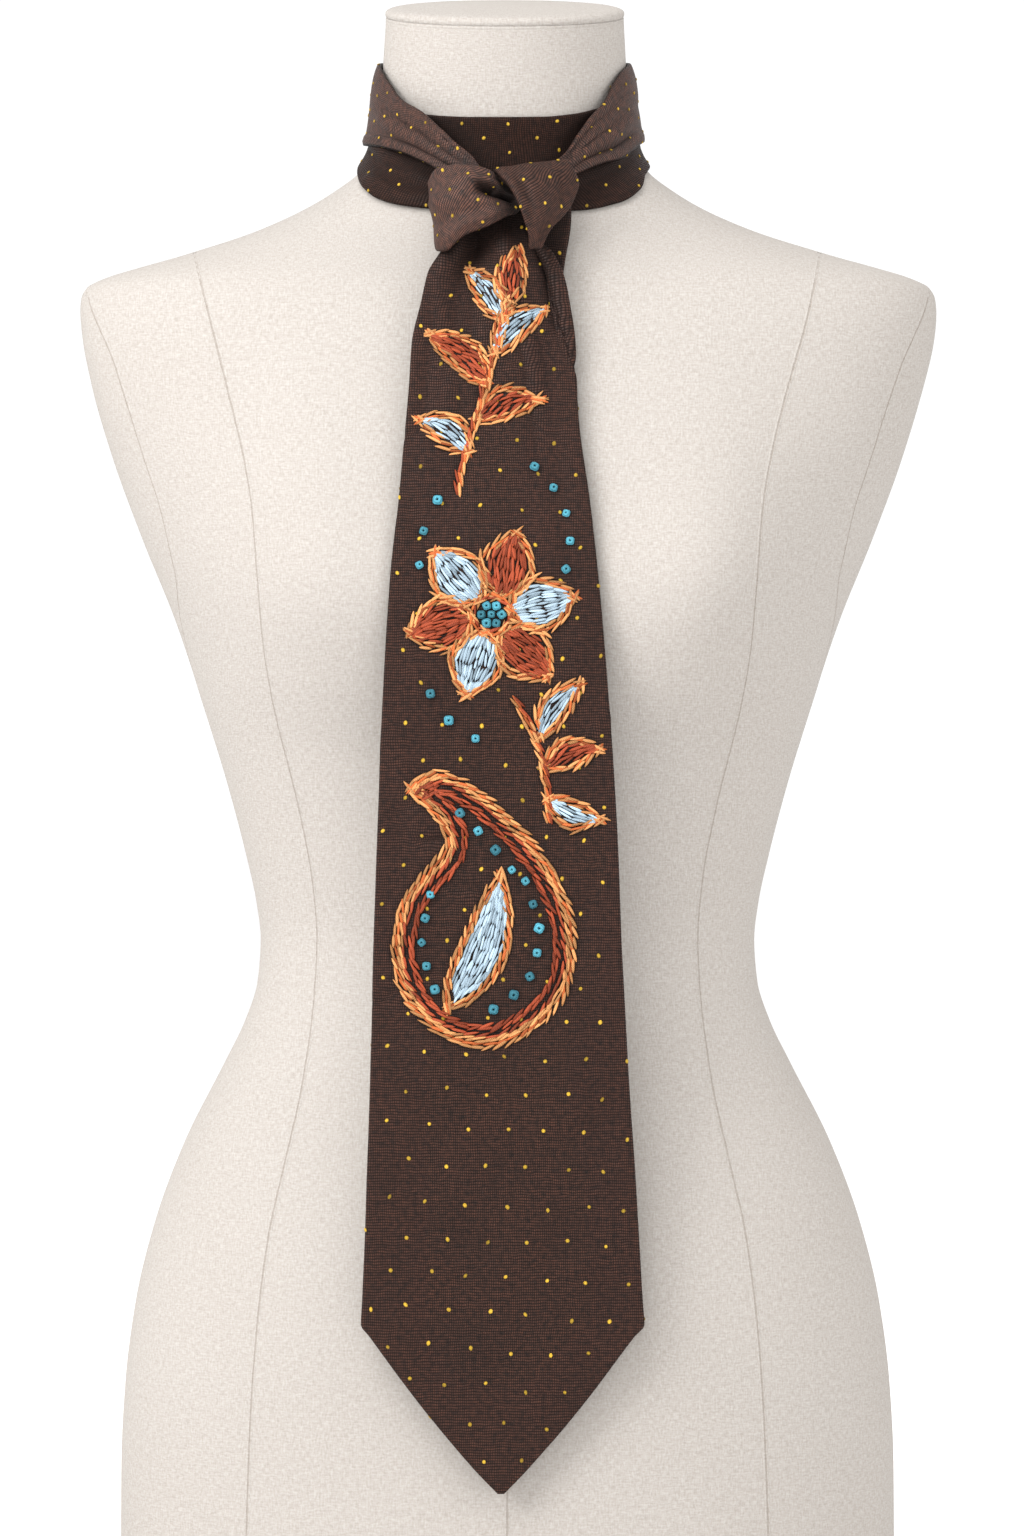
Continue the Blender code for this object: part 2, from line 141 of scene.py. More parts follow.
FORM_POINTS = 224  # round a section
Spacing = namedtuple("Spacing", "height step")
FORM_SPACING = (Spacing(0, 5.0), Spacing(600, 1.5), Spacing(665, 4.0))
BUST_RISE, BUST_HEIGHT, BUST_OFF_CENTRE = 21.0, 468.0, 95.0
BUST_REACH_ACROSS, BUST_REACH_UP, BUST_REACH_DOWN = 45.0, 66.0, 52.0
NECK_TILT, NECK_TILT_FROM, NECK_SEAM, NECK_MIDDLE, NECK_RADIUS = 10.5, 703.0, 734.2, -15.0, 55.0
SHARP_ANGLE = 50.0  # the base's edge is sharp, and the rest of the cover is smooth
END_CLOTH = 300.0  # how far off the cloth of the shell's ends lies, on the flat cover
TILT_PASSES = 4
CapRing = namedtuple("CapRing", "inset rise")
CAP_RINGS = (
    CapRing(1.2, 0.3),
    CapRing(0.2, 0.6),
    CapRing(-0.2, 1.3),
    CapRing(-0.3, 2.1),
    CapRing(-0.2, 3.0),
    CapRing(0.3, 3.6),
    CapRing(1.0, 4.0),
    CapRing(2.0, 4.4),
    CapRing(3.4, 4.7),
    CapRing(6.5, 4.9),
    CapRing(12.0, 5.1),
    CapRing(28.0, 5.1),
    CapRing(46.0, 5.1),
)

# Seams of the cover, as a line over height: how far off centre, or at what turn.
SeamAt = namedtuple("SeamAt", "height off_centre")
PRINCESS_SEAM = (
    SeamAt(0, 118),
    SeamAt(43, 117),
    SeamAt(98, 115),
    SeamAt(140, 112),
    SeamAt(180, 107),
    SeamAt(212, 100),
    SeamAt(249, 92),
    SeamAt(290, 87),
    SeamAt(313, 86),
    SeamAt(339, 88),
    SeamAt(372, 94),
    SeamAt(419, 105),
    SeamAt(445, 109),
    SeamAt(470, 111),
    SeamAt(506, 114),
    SeamAt(529, 118),
    SeamAt(561, 126),
    SeamAt(590, 134),
    SeamAt(618, 141),
    SeamAt(627.5, 143.5),
)
SeamTurn = namedtuple("SeamTurn", "height turn")
ARMHOLE_SEAM = (
    SeamTurn(0, 90),
    SeamTurn(380, 90),
    SeamTurn(420, 86.5),
    SeamTurn(455, 77),
    SeamTurn(480, 67),
    SeamTurn(517, 62.5),
    SeamTurn(540, 62.6),
    SeamTurn(571, 64.5),
    SeamTurn(604, 75.5),
    SeamTurn(614.5, 88),
)
SEAM_STEP, SEAM_BOTTOM, CENTRE_FRONT_TOP, CENTRE_BACK_TOP = 3.0, 2.0, 640.0, 725.0
SHOULDER_BOTTOM, SHOULDER_TOP, SHOULDER_POINTS = 617.0, 662.0, 40
CAP_SEAM_DROP = 1.0  # from the cap's edge down to its seam
SeamEdge = namedtuple("SeamEdge", "side rise")
SEAM_SECTION = (
    SeamEdge(-1.7, -0.16),
    SeamEdge(-1.1, 0.06),
    SeamEdge(-0.5, 0.15),
    SeamEdge(-0.14, 0.05),
    SeamEdge(0.0, -0.12),
    SeamEdge(0.14, 0.05),
    SeamEdge(0.5, 0.15),
    SeamEdge(1.1, 0.06),
    SeamEdge(1.7, -0.16),
    SeamEdge(1.0, -0.45),
    SeamEdge(-1.0, -0.45),
)

# The turns round the neck, as in the solids.
Turn = namedtuple("Turn", "turn bottom top lift lean")
INNER_TURN = (
    Turn(-180, 674, 714, 0, 0),
    Turn(-172, 674, 714, 0, 0),
    Turn(-90, 667, 700, 0, 0),
    Turn(-75, 662.4, 696, 0, 0),
    Turn(-63, 658.4, 692, 0, 0),
    Turn(-48, 652.0, 688, 0, 0),
    Turn(-37, 647.0, 686.5, 0, 0),
    Turn(-27, 643.8, 685.3, 0, 0),
    Turn(-15, 641.8, 684.5, 0, 0),
    Turn(0, 641.2, 684.3, 0, 0),
    Turn(16, 641.2, 684.6, 0, 0),
    Turn(32, 645.2, 686.5, 0, 0),
    Turn(47, 652.0, 690, 0, 0),
    Turn(63, 660.0, 694, 0, 0),
    Turn(90, 666.0, 700, 0, 0),
    Turn(172, 674, 714, 0, 0),
    Turn(180, 674, 714, 0, 0),
)
OUTER_TURN = (
    Turn(-180, 682, 724, 0, 1.9),
    Turn(-172, 682, 724, 0, 1.9),
    Turn(-110, 677.3, 715.5, 0, 2.5),
    Turn(-90, 675.5, 713, 0, 2.7),
    Turn(-77, 673.8, 709.2, 0.2, 2.7),
    Turn(-62, 672.8, 702, 0.6, 1.9),
    Turn(-46, 669.6, 693, 2.4, 0.0),
    Turn(-34, 665.2, 687.5, 5.4, 0.0),
    Turn(-23, 658.8, 678.6, 9.2, 0.0),
    Turn(-16, 654.2, 671, 11.6, 0.0),
    Turn(-10, 651, 664, 13, 0.0),
    Turn(-5, 648.5, 656, 13.8, 0.0),
    Turn(13, 650, 659, 10, 0.0),
    Turn(20, 653.6, 665, 9.4, 0.0),
    Turn(28, 657.6, 676, 7, 0.0),
    Turn(37, 661, 686, 4.4, 0.0),
    Turn(47, 664.2, 693, 2.2, 0.8),
    Turn(57, 668.4, 701.5, 0.8, 2.3),
    Turn(70, 673.4, 708.6, 0.2, 2.8),
    Turn(88, 676.6, 713, 0, 3.0),
    Turn(110, 678, 715.5, 0, 2.7),
    Turn(172, 682, 724, 0, 1.9),
    Turn(180, 682, 724, 0, 1.9),
)
LEAN_POWER = 6
NECK_BAND_WIDTH, NECK_BAND_COLUMNS, NECK_BAND_SECTIONS = 41.0, 30, 220
OUTER_LEFT_END, OUTER_RIGHT_END = -5.0, 13.0
NECK_RUN = 1.15  # millimetres of band for each degree round the neck
DEEPEST_DENT = 0.35  # in a turn, as a share of what lies under it

# The wide blade and the narrow end behind it, as in the solids.
Blade = namedtuple("Blade", "height left right back")
BLADE = (
    Blade(640, -22, 13, -82.1),
    Blade(632, -25, 13.5, -83.2),
    Blade(625, -26.5, 16, -84.6),
    Blade(619, -30.0, 20.3, -86.2),
    Blade(611, -35.2, 24.4, -88.6),
    Blade(598, -38.5, 27.4, -92.2),
    Blade(580, -42.5, 30.0, -97.0),
    Blade(561, -43.8, 30.9, -102.2),
    Blade(545, -45.1, 31.8, -106.4),
    Blade(509, -48.2, 36.6, -115.6),
    Blade(490, -50.4, 38.8, -120.1),
    Blade(473, -52.1, 40.6, -122.8),
    Blade(420, -55.2, 45.0, -124.0),
    Blade(367, -57.4, 48.5, -123.8),
    Blade(314, -59.2, 50.7, -123.8),
    Blade(261, -60.5, 53.4, -123.6),
    Blade(207, -62.3, 56.9, -123.2),
    Blade(154, -64.3, 60.1, -122.6),
    Blade(143, -64.9, 60.9, -122.5),
    Blade(138, -61.2, 56.6, -122.5),
    Blade(118, -46.5, 41.6, -122.2),
    Blade(100, -32.4, 27.3, -121.8),
    Blade(82, -17.4, 11.6, -121.4),
    Blade(68.1, -4.4, -1.4, -121),
)
BLADE_WIDTH, BLADE_COLUMNS, BLADE_STEP = 100.0, 64, 2.2
Roll = namedtuple("Roll", "place reach rise")
BLADE_ROLLS = (
    Roll(-0.84, 0.20, 3.0),
    Roll(-0.44, 0.20, -3.6),
    Roll(0.24, 0.30, 5.0),
    Roll(0.73, 0.10, -2.8),
    Roll(0.93, 0.12, 1.5),
)
ROLLS_FROM, ROLLS_FULL, ROLLS_TO, ROLLS_FADE_POWER = 652.0, 622.0, 540.0, 1.5
# How far its middle stands out beyond its edges, and the width below which it does so less.
BLADE_CROWN, CROWN_WIDTH, CROWN_LESS = 1.4, 60.0, 0.1
CREASES_FROM, CREASES_GROW = 640.0, 14.0  # they start below the knot's inside
TAIL = (
    Blade(645, -20, 29.0, -71.0),
    Blade(636, -21, 28.8, -72.0),
    Blade(628, -22, 27.9, -74.0),
    Blade(620, -22.5, 26.4, -76.8),
    Blade(605, -24, 24.7, -82.9),
    Blade(590, -24.8, 24.6, -88.7),
    Blade(550, -26.5, 24.5, -100.9),
    Blade(520, -27.3, 24.2, -109.3),
    Blade(500, -27.8, 23.9, -114.4),
    Blade(484, -28.2, 23.7, -118.0),
    Blade(468, -28.5, 23.5, -119.3),
    Blade(430, -29, 23, -119.7),
    Blade(402, -29.4, 22.8, -119.6),
    Blade(386, -16, 10, -119.4),
    Blade(371, -4.4, -1.4, -119.2),
)
TAIL_WIDTH, TAIL_COLUMNS, TAIL_STEP, TAIL_RELIEF = 50.0, 24, 4.0, 0.3

# The knot's two panels and its core, as in the solids.
Fold = namedtuple("Fold", "x1 y1 z1 x2 y2 z2 bulge")
KNOT_WRAP = (
    Fold(-31.0, -69.5, 655.0, -29.2, -77.5, 628.0, 0.0),
    Fold(-36.0, -78.0, 654.5, -32.2, -86.5, 621.8, 1.0),
    Fold(-32.6, -88.0, 659.4, -28.0, -97.5, 621.0, 2.5),
    Fold(-23.5, -93.0, 661.0, -19.0, -100.5, 627.7, 3.0),
    Fold(-14.6, -95.0, 660.4, -7.8, -100.5, 632.2, 2.5),
    Fold(-6.9, -94.5, 657.8, 0.2, -98.0, 636.9, 0.5),
    Fold(-3.4, -92.0, 653.8, 4.7, -95.0, 639.6, -1.0),
    Fold(0.4, -90.0, 650.6, 7.0, -92.5, 642.4, -0.5),
)
KNOT_FLAP = (
    Fold(-4.3, -85.0, 657.4, 27.2, -79.0, 663.0, 0.5),
    Fold(-6.1, -91.0, 658.8, 27.4, -84.2, 663.8, 2.0),
    Fold(-3.4, -98.0, 654.9, 30.6, -87.3, 659.0, 3.5),
    Fold(0.2, -101.0, 650.1, 33.0, -86.0, 652.4, 4.2),
    Fold(3.8, -103.5, 643.6, 31.2, -87.0, 646.2, 4.0),
    Fold(6.5, -105.0, 636.3, 27.1, -92.0, 638.7, 3.0),
    Fold(9.1, -104.5, 628.6, 19.9, -99.0, 630.8, 1.2),
    Fold(10.2, -103.4, 621.6, 15.6, -101.4, 622.2, 0.0),
)
KNOT_PANEL_WIDTH, KNOT_COLUMNS, KNOT_SECTIONS, KNOT_RUN = 34.0, 34, 84, 7.5
SWELL_POWER = 2.5
Core = namedtuple("Core", "height left right front back")
KNOT_CORE = (
    Core(629, -15, 14, -81.4, -79.2),
    Core(636, -20, 21, -80.7, -77.8),
    Core(641, -24, 26, -80.5, -76.9),
    Core(645, -25, 28, -84.0, -76.8),
    Core(650.8, -20, 24, -85.4, -80.2),
)
CORE_SQUARENESS, CORE_POINTS, CORE_SECTIONS = 4.0, 72, 28

# Creases. Each is a line between two places on its piece, a trough where rise is
# below nought. It is near wide on its left and far wide on its right, seen from its first end.
Crease = namedtuple("Crease", "a1 b1 a2 b2 near far rise")
# The share of its length over which its ends fade, and of its rise that its ends still have.
CREASE_FADE, CREASE_LEAST = 0.12, 0.35

# On the blade: millimetres off centre and height.
BLADE_CREASES = (
    Crease(15.0, 626, 30.2, 566, 0.9, 5.0, -1.9),  # the pleat that tucks under the right edge
    Crease(13.5, 626, 28.6, 566, 4.6, 0.9, 0.9),
    Crease(-12, 624, -17, 575, 3.5, 3.0, -1.3),
    Crease(-2, 628, 14, 560, 2.4, 4.0, 1.87),
    Crease(3, 600, 13, 530, 3.2, 3.2, -1.36),
    Crease(-33, 605, -37, 545, 3.0, 4.0, -1.36),
    Crease(-27, 588, -24, 540, 3.5, 3.5, 1.02),
    Crease(22, 540, 26, 480, 4.0, 5.0, -0.85),
    Crease(-42, 500, -30, 455, 5.0, 4.0, -0.85),
    Crease(31, 455, 24, 395, 6.0, 5.0, 0.85),
    Crease(-50, 400, -36, 352, 5.0, 5.0, 0.77),
    Crease(40, 350, 28, 300, 5.0, 6.0, -0.85),
    Crease(-53, 262, -22, 240, 7.0, 6.0, 0.68),
    Crease(48, 236, 14, 214, 7.0, 8.0, -0.68),
    Crease(-40, 190, -8, 176, 8.0, 7.0, -0.59),
    Crease(20, 160, 46, 172, 7.0, 7.0, 0.59),
)
# On the turns: degrees and a share of the band's width.
INNER_CREASES = (
    Crease(-88, 0.44, -30, 0.40, 5.5, 4.0, 2.4),
    Crease(-52, 0.10, -18, 0.08, 2.6, 3.0, 1.8),
    Crease(-40, 0.30, -18, 0.26, 2.0, 1.6, 1.2),
    Crease(26, 0.34, 80, 0.40, 5.0, 4.0, 1.8),
    Crease(-72, 0.28, -52, 0.22, 3.0, 2.0, -0.6),
    Crease(24, 0.22, 58, 0.30, 2.4, 3.4, -0.8),
    Crease(-12, 0.78, 20, 0.70, 3.0, 3.0, -0.5),
    Crease(110, 0.35, 150, 0.45, 3.0, 4.0, -0.6),
    Crease(-160, 0.60, -118, 0.48, 3.5, 3.0, -0.6),
)
OUTER_CREASES = (
    Crease(-96, 0.07, -22, 0.08, 1.8, 1.4, 1.3),  # the rolled lower edge on the left
    Crease(-62, 0.42, -20, 0.36, 4.5, 4.0, 1.6),
    Crease(22, 0.46, 72, 0.38, 3.4, 4.0, 1.8),
    Crease(30, 0.10, 90, 0.08, 2.6, 2.0, 1.1),
    Crease(-58, 0.62, -18, 0.52, 3.0, 4.4, -0.8),
    Crease(-44, 0.20, -14, 0.26, 2.2, 2.6, -0.9),
    Crease(-84, 0.42, -60, 0.30, 3.6, 2.6, -0.5),
    Crease(-30, 0.84, -12, 0.70, 2.0, 3.0, 0.5),
    Crease(20, 0.30, 62, 0.18, 1.6, 3.4, -1.1),
    Crease(18, 0.58, 48, 0.66, 3.0, 2.4, 0.7),
    Crease(24, 0.86, 60, 0.78, 2.2, 3.2, -0.6),
    Crease(74, 0.52, 108, 0.44, 3.2, 4.0, -0.5),
    Crease(122, 0.30, 158, 0.24, 3.0, 3.6, -0.7),
    Crease(150, 0.66, 196, 0.72, 4.0, 3.0, 0.6),
    Crease(205, 0.34, 240, 0.46, 3.2, 3.2, -0.7),
    Crease(228, 0.74, 262, 0.62, 2.8, 3.4, -0.5),
)
# On the knot's panels: the number of a section and a share of the panel's width.
WRAP_CREASES = (
    Crease(4.1, 0.34, 6.4, 0.60, 3.8, 1.9, -8.5),  # the dark pocket beside the flap
    Crease(3.6, 0.20, 5.4, 0.30, 1.7, 1.7, 1.3),  # its soft upper rim
    Crease(1.5, 0.88, 5.2, 0.84, 2.2, 2.6, 1.1),
    Crease(0.9, 0.34, 3.0, 0.46, 3.4, 3.0, 1.3),
    Crease(1.2, 0.62, 3.8, 0.70, 2.8, 2.4, -1.1),
    Crease(1.9, 0.14, 3.6, 0.12, 2.0, 2.4, -0.7),
)
FLAP_CREASES = (
    Crease(1.6, 0.44, 6.0, 0.46, 4.2, 4.2, 1.3),
    Crease(1.6, 0.76, 4.6, 0.82, 2.4, 2.8, -1.5),
    Crease(1.4, 0.10, 4.8, 0.08, 1.6, 2.0, 0.8),
    Crease(2.2, 0.22, 5.0, 0.24, 2.0, 2.2, -1.0),
)
TAIL_CREASES = (
    Crease(-14, 628, -8, 560, 4.0, 4.0, -0.9),
    Crease(10, 620, 6, 545, 4.0, 4.0, -0.8),
    Crease(-10, 500, 8, 470, 5.0, 5.0, 0.5),
)

# Waves that no real cloth is without: long ones, a few tenths of a millimetre high.
Wave = namedtuple("Wave", "across along start rise")
WAVES = (Wave(61, 143, 0.4, 0.22), Wave(-37, 88, 2.1, 0.14), Wave(23, 51, 4.0, 0.08))

# How the weave lies on each stretch: the degrees that its ribs turn, how close they lie where the
# cloth is pulled together, how many metres they sway, how deep the gaps between the threads are,
# and shine, which is painted light and shade: its colour and gloss are made lighter where light
# falls on it and darker where it lies in shade. Close and shine are shares of the settings.
Weave = namedtuple("Weave", "turned close sway split shine")
WEAVES = {
    "inner_turn": Weave(0.0, 0.74, 0.005, 0.8, 0.66),
    "outer_turn": Weave(24.0, 0.74, 0.005, 0.55, 1.6),
    "knot_wrap": Weave(48.0, 0.72, 0.009, 0.55, 1.8),
    "knot_flap": Weave(36.0, 0.72, 0.009, 0.55, 1.2),
    "core": Weave(0.0, 1.0, 0.0, 0.9, 1.0),
    "blade": Weave(0.0, 0.82, 0.0, 0.9, 1.0),
    "tail": Weave(0.0, 0.82, 0.0, 0.9, 1.0),
}

DOTS_START, DOT_SEED = (0.004, 0.010), 20  # metres from the flat cloth's lowest corner
# Stretches with pin dots, and how close these lie there, as a share of their distance on the blade.
DOTTED = (
    ("inner_turn", 0.78),
    ("outer_turn", 0.68),
    ("knot_wrap_panel", 0.68),
    ("knot_flap_panel", 0.72),
    ("blade", 1.0),
    ("tail", 1.0),
)

# The needlework: leaves, a flower and a paisley drop, on the blade's front. Millimetres off
# centre and height. Bow is how far a leaf's middle line swings to its left.
Leaf = namedtuple("Leaf", "x1 z1 x2 z2 width bow fill")
SPRIG_LEAVES = (
    Leaf(-17.5, 531, -38.5, 545, 12.5, -3.0, "blue"),
    Leaf(-13.5, 546, 14.0, 554, 12.5, 3.0, "rust"),
    Leaf(-10.0, 562, -34.5, 584, 13.0, -3.0, "rust"),
    Leaf(-6.0, 576, 16.5, 595, 12.0, 3.0, "blue"),
    Leaf(-3.0, 591, -17.0, 613, 11.0, -2.0, "blue"),
    Leaf(0.5, 598, 5.5, 622, 11.0, 1.5, "rust"),
)
SPRIG_STEM = ((-22, 514), (-19, 527), (-14, 545), (-9, 562), (-4, 580), (0.5, 595))
BUD_LEAVES = (
    Leaf(14.0, 404, 32.0, 427, 11.0, 2.5, "blue"),
    Leaf(17.0, 391, 40.0, 398, 11.5, 2.5, "rust"),
    Leaf(18.5, 376, 41.0, 367, 10.5, -2.5, "blue"),
)
BUD_STEM = ((4, 419), (10, 408), (15, 395), (18, 380), (18, 368))
FLOWER_MIDDLE, PETALS, PETAL_FIRST_TURN = (-7.0, 458.0), 6, 12.0
PETAL_FROM, PETAL_TO, PETAL_WIDTH = 9.0, 37.0, 22.0
EYE_RADIUS, EYE_POINTS = 8.0, 12
EYE_KNOTS_RADIUS, EYE_KNOTS = 4.4, 6
PAISLEY = (
    (-41, 381),
    (-30, 386),
    (-14, 378),
    (4, 362),
    (19, 342),
    (27, 318),
    (25, 294),
    (10, 276),
    (-10, 269),
    (-30, 275),
    (-44, 291),
    (-48, 312),
    (-43, 332),
    (-32, 345),
    (-25, 355),
    (-27, 366),
    (-35, 375),
)
PAISLEY_HEART = Leaf(-26.0, 284, -3.0, 342, 19.0, -5.0, "blue")
KNOT_RUNS = (
    ((8, 340), (14, 318), (9, 296), (-6, 283)),
    ((-34, 334), (-38, 312), (-32, 292)),
    ((-21, 370), (-8, 357), (2, 345)),
    ((-31, 509), (-37, 495), (-39, 480)),
    ((26, 478), (28, 496), (22, 512), (12, 524)),
    ((-34, 423), (-26, 411), (-14, 403)),
)
KNOT_SPACING = 10.8
# A filling's rows: their distance, how far across the leaf they reach, and where they start and
# stop along it, in its middle and how much further in at its edges.
ROW_SPACING, FILL_REACH, FILL_START, FILL_START_MORE, FILL_STOP = 1.3, 0.86, 0.10, 0.16, 0.8
# Strands laid side by side, in millimetres to the left of the line they follow.
Strand = namedtuple("Strand", "side thread")
LEAF_STRANDS = (Strand(1.3, "tan"), Strand(0.1, "orange"), Strand(-1.0, "tan"))
STEM_STRANDS = (Strand(1.2, "rust"), Strand(0.0, "orange"), Strand(-1.2, "tan"))
EYE_STRANDS = (Strand(0.6, "rust"), Strand(-0.6, "orange"))
PAISLEY_STRANDS = (
    Strand(-2.5, "tan"),
    Strand(-1.3, "orange"),
    Strand(-0.1, "tan"),
    Strand(1.1, "tan"),
    Strand(2.3, "rust"),
    Strand(5.4, "rust"),
    Strand(6.5, "rust"),
)
# What a stitch of an outline and one of a filling are, as shares of the settings. The pitch is a
# share of the stitch's length, and a French knot's height of its width.
StitchShare = namedtuple("StitchShare", "pitch width height wander slant skew")
OUTLINE_STITCH = StitchShare(0.68, 1.0, 1.0, 1.0, 1.0, 1.0)
FILLING_STITCH = StitchShare(0.78, 0.95, 0.8, 0.6, 0.0, 0.5)
FILLING_THREAD, THREAD_SEED_STEP, KNOT_HEIGHT = "blue", 40, 0.85
STRANDS = 4  # in a thread
Coil = namedtuple("Coil", "reach thread lift tip")
KNOT_COILS = (Coil(0.32, 0.18, 0.15, 0.0), Coil(0.235, 0.165, 0.42, 0.09))
Mound = namedtuple("Mound", "radius height")
DOT_MOUND = (
    Mound(0.42, -0.35),
    Mound(0.5, 0.0),
    Mound(0.46, 0.42),
    Mound(0.30, 0.82),
    Mound(0.12, 0.98),
)
PATH_STEP, CURVE_STEPS = 1.2, 24  # millimetres between a stitched line's points, and finer steps
# How the needlework pulls the blade in along its lines, and the small puckers beside them.
PULL_REACH, PULL_DEPTH, PULL_EDGE, PULL_BATCH = 2.6, 0.45, 8.0, 2000
PUCKERS, PUCKER_SEED, PUCKER_LEAN = 90, 11, 0.5
PUCKER_START, PUCKER_LENGTH, PUCKER_WIDTH = (1, 2), (7, 17), (1.5, 3.0)
PUCKER_SPREAD, PUCKER_RISE = (0.8, 1.5), (-0.9, 0.75)

# The photograph's camera, level, in metres, and its sensor in millimetres.
CAMERA_PLACE, CAMERA_VIEW_HEIGHT, CAMERA_SENSOR = (0.0021, -3.2, 0.390), 0.7087, 36.0
FLOOR_REACH = 30.0
# Lamps, each at a turn round the form and a rise above its middle, in degrees.
LAMP_SIZE, LAMP_DISTANCE, FORM_MIDDLE = 1.4, 3.0, 0.4
Lamp = namedtuple("Lamp", "setting turn rise")
LAMPS = (Lamp("key", -50, 25), Lamp("top", -25, 55), Lamp("side", 60, 25))


def linear(code):
    """A colour from an sRGB hex value, as the shaders want it."""
    parts = [int(code[k : k + 2], 16) / 255 for k in (1, 3, 5)]
    low, step = 0.04045, 12.92
    return tuple(c / step if c <= low else ((c + 0.055) / 1.055) ** 2.4 for c in parts)


def metres(name, description, default, low, high):
    return FloatProperty(
        name=name,
        description=description,
        default=default * MM,
        min=low * MM,
        max=high * MM,
        unit="LENGTH",
        precision=5,
    )


def degrees(name, description, default, low, high):
    return FloatProperty(
        name=name,
        description=description,
        default=math.radians(default),
        min=math.radians(low),
        max=math.radians(high),
        subtype="ANGLE",
    )


def amount(name, description, default, low, high):
    return FloatProperty(name=name, description=description, default=default, min=low, max=high)


def colour(name, description, code):
    return FloatVectorProperty(
        name=name,
        description=description,
        default=linear(code),
        min=0,
        max=1,
        size=3,
        subtype="COLOR",
    )


class TieClothSettings(bpy.types.PropertyGroup):
    rib: metres("Rib", "From one rib of the weave to the next", 1.5, 0.6, 6)
    thread: metres("Thread", "From one thread along a rib to the next", 1.15, 0.5, 6)
    face: colour("Thread colour", "The weave's raised threads", "#482b20")
    ground: colour("Ground colour", "Between the weave's threads", "#130a07")
    gloss: amount("Gloss", "How much the crowns of its threads shine", 0.17, 0, 1)
    # Painted shade in the creases: how near other cloth must be, and how much darker it is painted.
    crease_reach: metres("Crease reach", "How near other cloth darkens it", 20, 1, 60)
    crease_dark: amount("Crease dark", "How much creases darken", 2.3, 0, 6)
    dots_across: metres("Dots across", "From one pin dot to the next, across", 17.6, 6, 60)
    dots_along: metres("Dots along", "From one row of pin dots to the next", 16.3, 6, 60)
    dot_size: metres("Dot size", "How wide a pin dot is", 1.95, 0.5, 8)
    dot_height: metres("Dot height", "How far a pin dot stands out", 0.4, 0.1, 2)
    dot_colour: colour("Dot colour", "The pin dots' thread", "#c79f24")
    dot_stray: metres("Dot stray", "How far a pin dot strays from its place", 1.7, 0, 5)
    dot_slope: amount("Dot slope", "How far the rows of pin dots run down as they cross", 0.06, -0.5, 0.5)


class FormSettings(bpy.types.PropertyGroup):
    cover: colour("Cover colour", "The dress form's cloth cover", "#aca7a2")
    cover_dark: colour("Cover shade", "Between the cover's threads", "#938c85")
    thread: metres("Cover thread", "From one thread of the cover to the next", 0.8, 0.4, 4)


class NeedleworkSettings(bpy.types.PropertyGroup):
    stitch: metres("Stitch", "How long a stitch is", 7.4, 2, 20)
    width: metres("Width", "How wide a stitch is", 1.36, 0.5, 4)
    height: metres("Height", "How thick a stitch is", 1.2, 0.3, 3)
    wander: metres("Wander", "How far a stitch strays from its line", 0.48, 0, 3)
    slant: degrees("Slant", "How far the outlines' stitches lean off their line", 11, 0, 60)
    skew: degrees("Skew", "How unevenly the stitches lean", 13, 0, 60)
    knot: metres("Knot", "How wide a French knot is", 4.2, 1, 10)
    seed: IntProperty(name="Seed", description="For all that is uneven", default=7, min=0)
    tan: colour("Tan", "Light thread of the outlines", "#c98a50")
    orange: colour("Orange", "Middle thread of the outlines", "#b4561a")
    rust: colour("Rust", "Dark thread", "#96380c")
    blue: colour("Pale blue", "Thread of the fillings", "#a6bccb")
    teal: colour("Teal", "Thread of the French knots", "#4798ab")


class StageSettings(bpy.types.PropertyGroup):
    floor: colour("Floor", "The pale floor", "#fbfbfb")
    key: amount("Key", "Watts of the soft key light", 72.0, 0, 1000)
    top: amount("Top", "Watts of the soft light above", 52.0, 0, 1000)
    side: amount("Side", "Watts of the soft light at the right", 32.0, 0, 1000)
    sky: amount("Sky", "Strength of the white sky", 1.06, 0, 10)


def smooth(rows, column, at):
    """A smooth line through a table's column, over its first column, that overshoots no row."""
    order = sorted(rows)
    place = np.array([row[0] for row in order], float)
    value = np.array([getattr(row, column) for row in order], float)
    slope = np.diff(value) / np.diff(place)
    product = slope[:-1] * slope[1:]
    total = slope[:-1] + slope[1:]
    inside = np.where(product > 0, 2 * product / np.where(total == 0, 1, total), 0)
    slopes = np.concatenate(([slope[0]], inside, [slope[-1]]))
    k = np.clip(np.searchsorted(place, at) - 1, 0, len(place) - 2)
    width = place[k + 1] - place[k]
    t = np.clip((at - place[k]) / width, 0, 1)
    return (
        value[k] * (1 + 2 * t) * (1 - t) ** 2
        + slopes[k] * width * t * (1 - t) ** 2
        + value[k + 1] * t * t * (3 - 2 * t)
        + slopes[k + 1] * width * t * t * (t - 1)
    )


def bust(x, height):
    """How far the bust stands out of the form's plain front."""
    above = height - BUST_HEIGHT
    reach = np.where(above > 0, BUST_REACH_UP, BUST_REACH_DOWN)
    across = (np.abs(x) - BUST_OFF_CENTRE) / BUST_REACH_ACROSS
    return BUST_RISE * np.exp(-(across**2) - (above / reach) ** 2)


def form_surface(turn, height):
    """Points on the form's cover."""
    turn, height = np.broadcast_arrays(turn, height)
    side, ahead = np.sin(np.radians(turn)), np.cos(np.radians(turn))
    power = 2 / smooth(FORM_PROFILE, "squareness", height)
    x = smooth(FORM_OUTLINE, "half_width", height) * np.sign(side) * np.abs(side) ** power
    widest = smooth(FORM_PROFILE, "widest", height)
    front = smooth(FORM_PROFILE, "front", height)
    end = np.where(ahead > 0, front, smooth(FORM_PROFILE, "back", height))
    y = widest + (end - widest) * np.abs(ahead) ** power
    y = y - bust(x, height) * np.sqrt(np.clip(ahead, 0, 1))
    return np.stack((x + smooth(FORM_PROFILE, "middle", height), y, height), axis=-1)


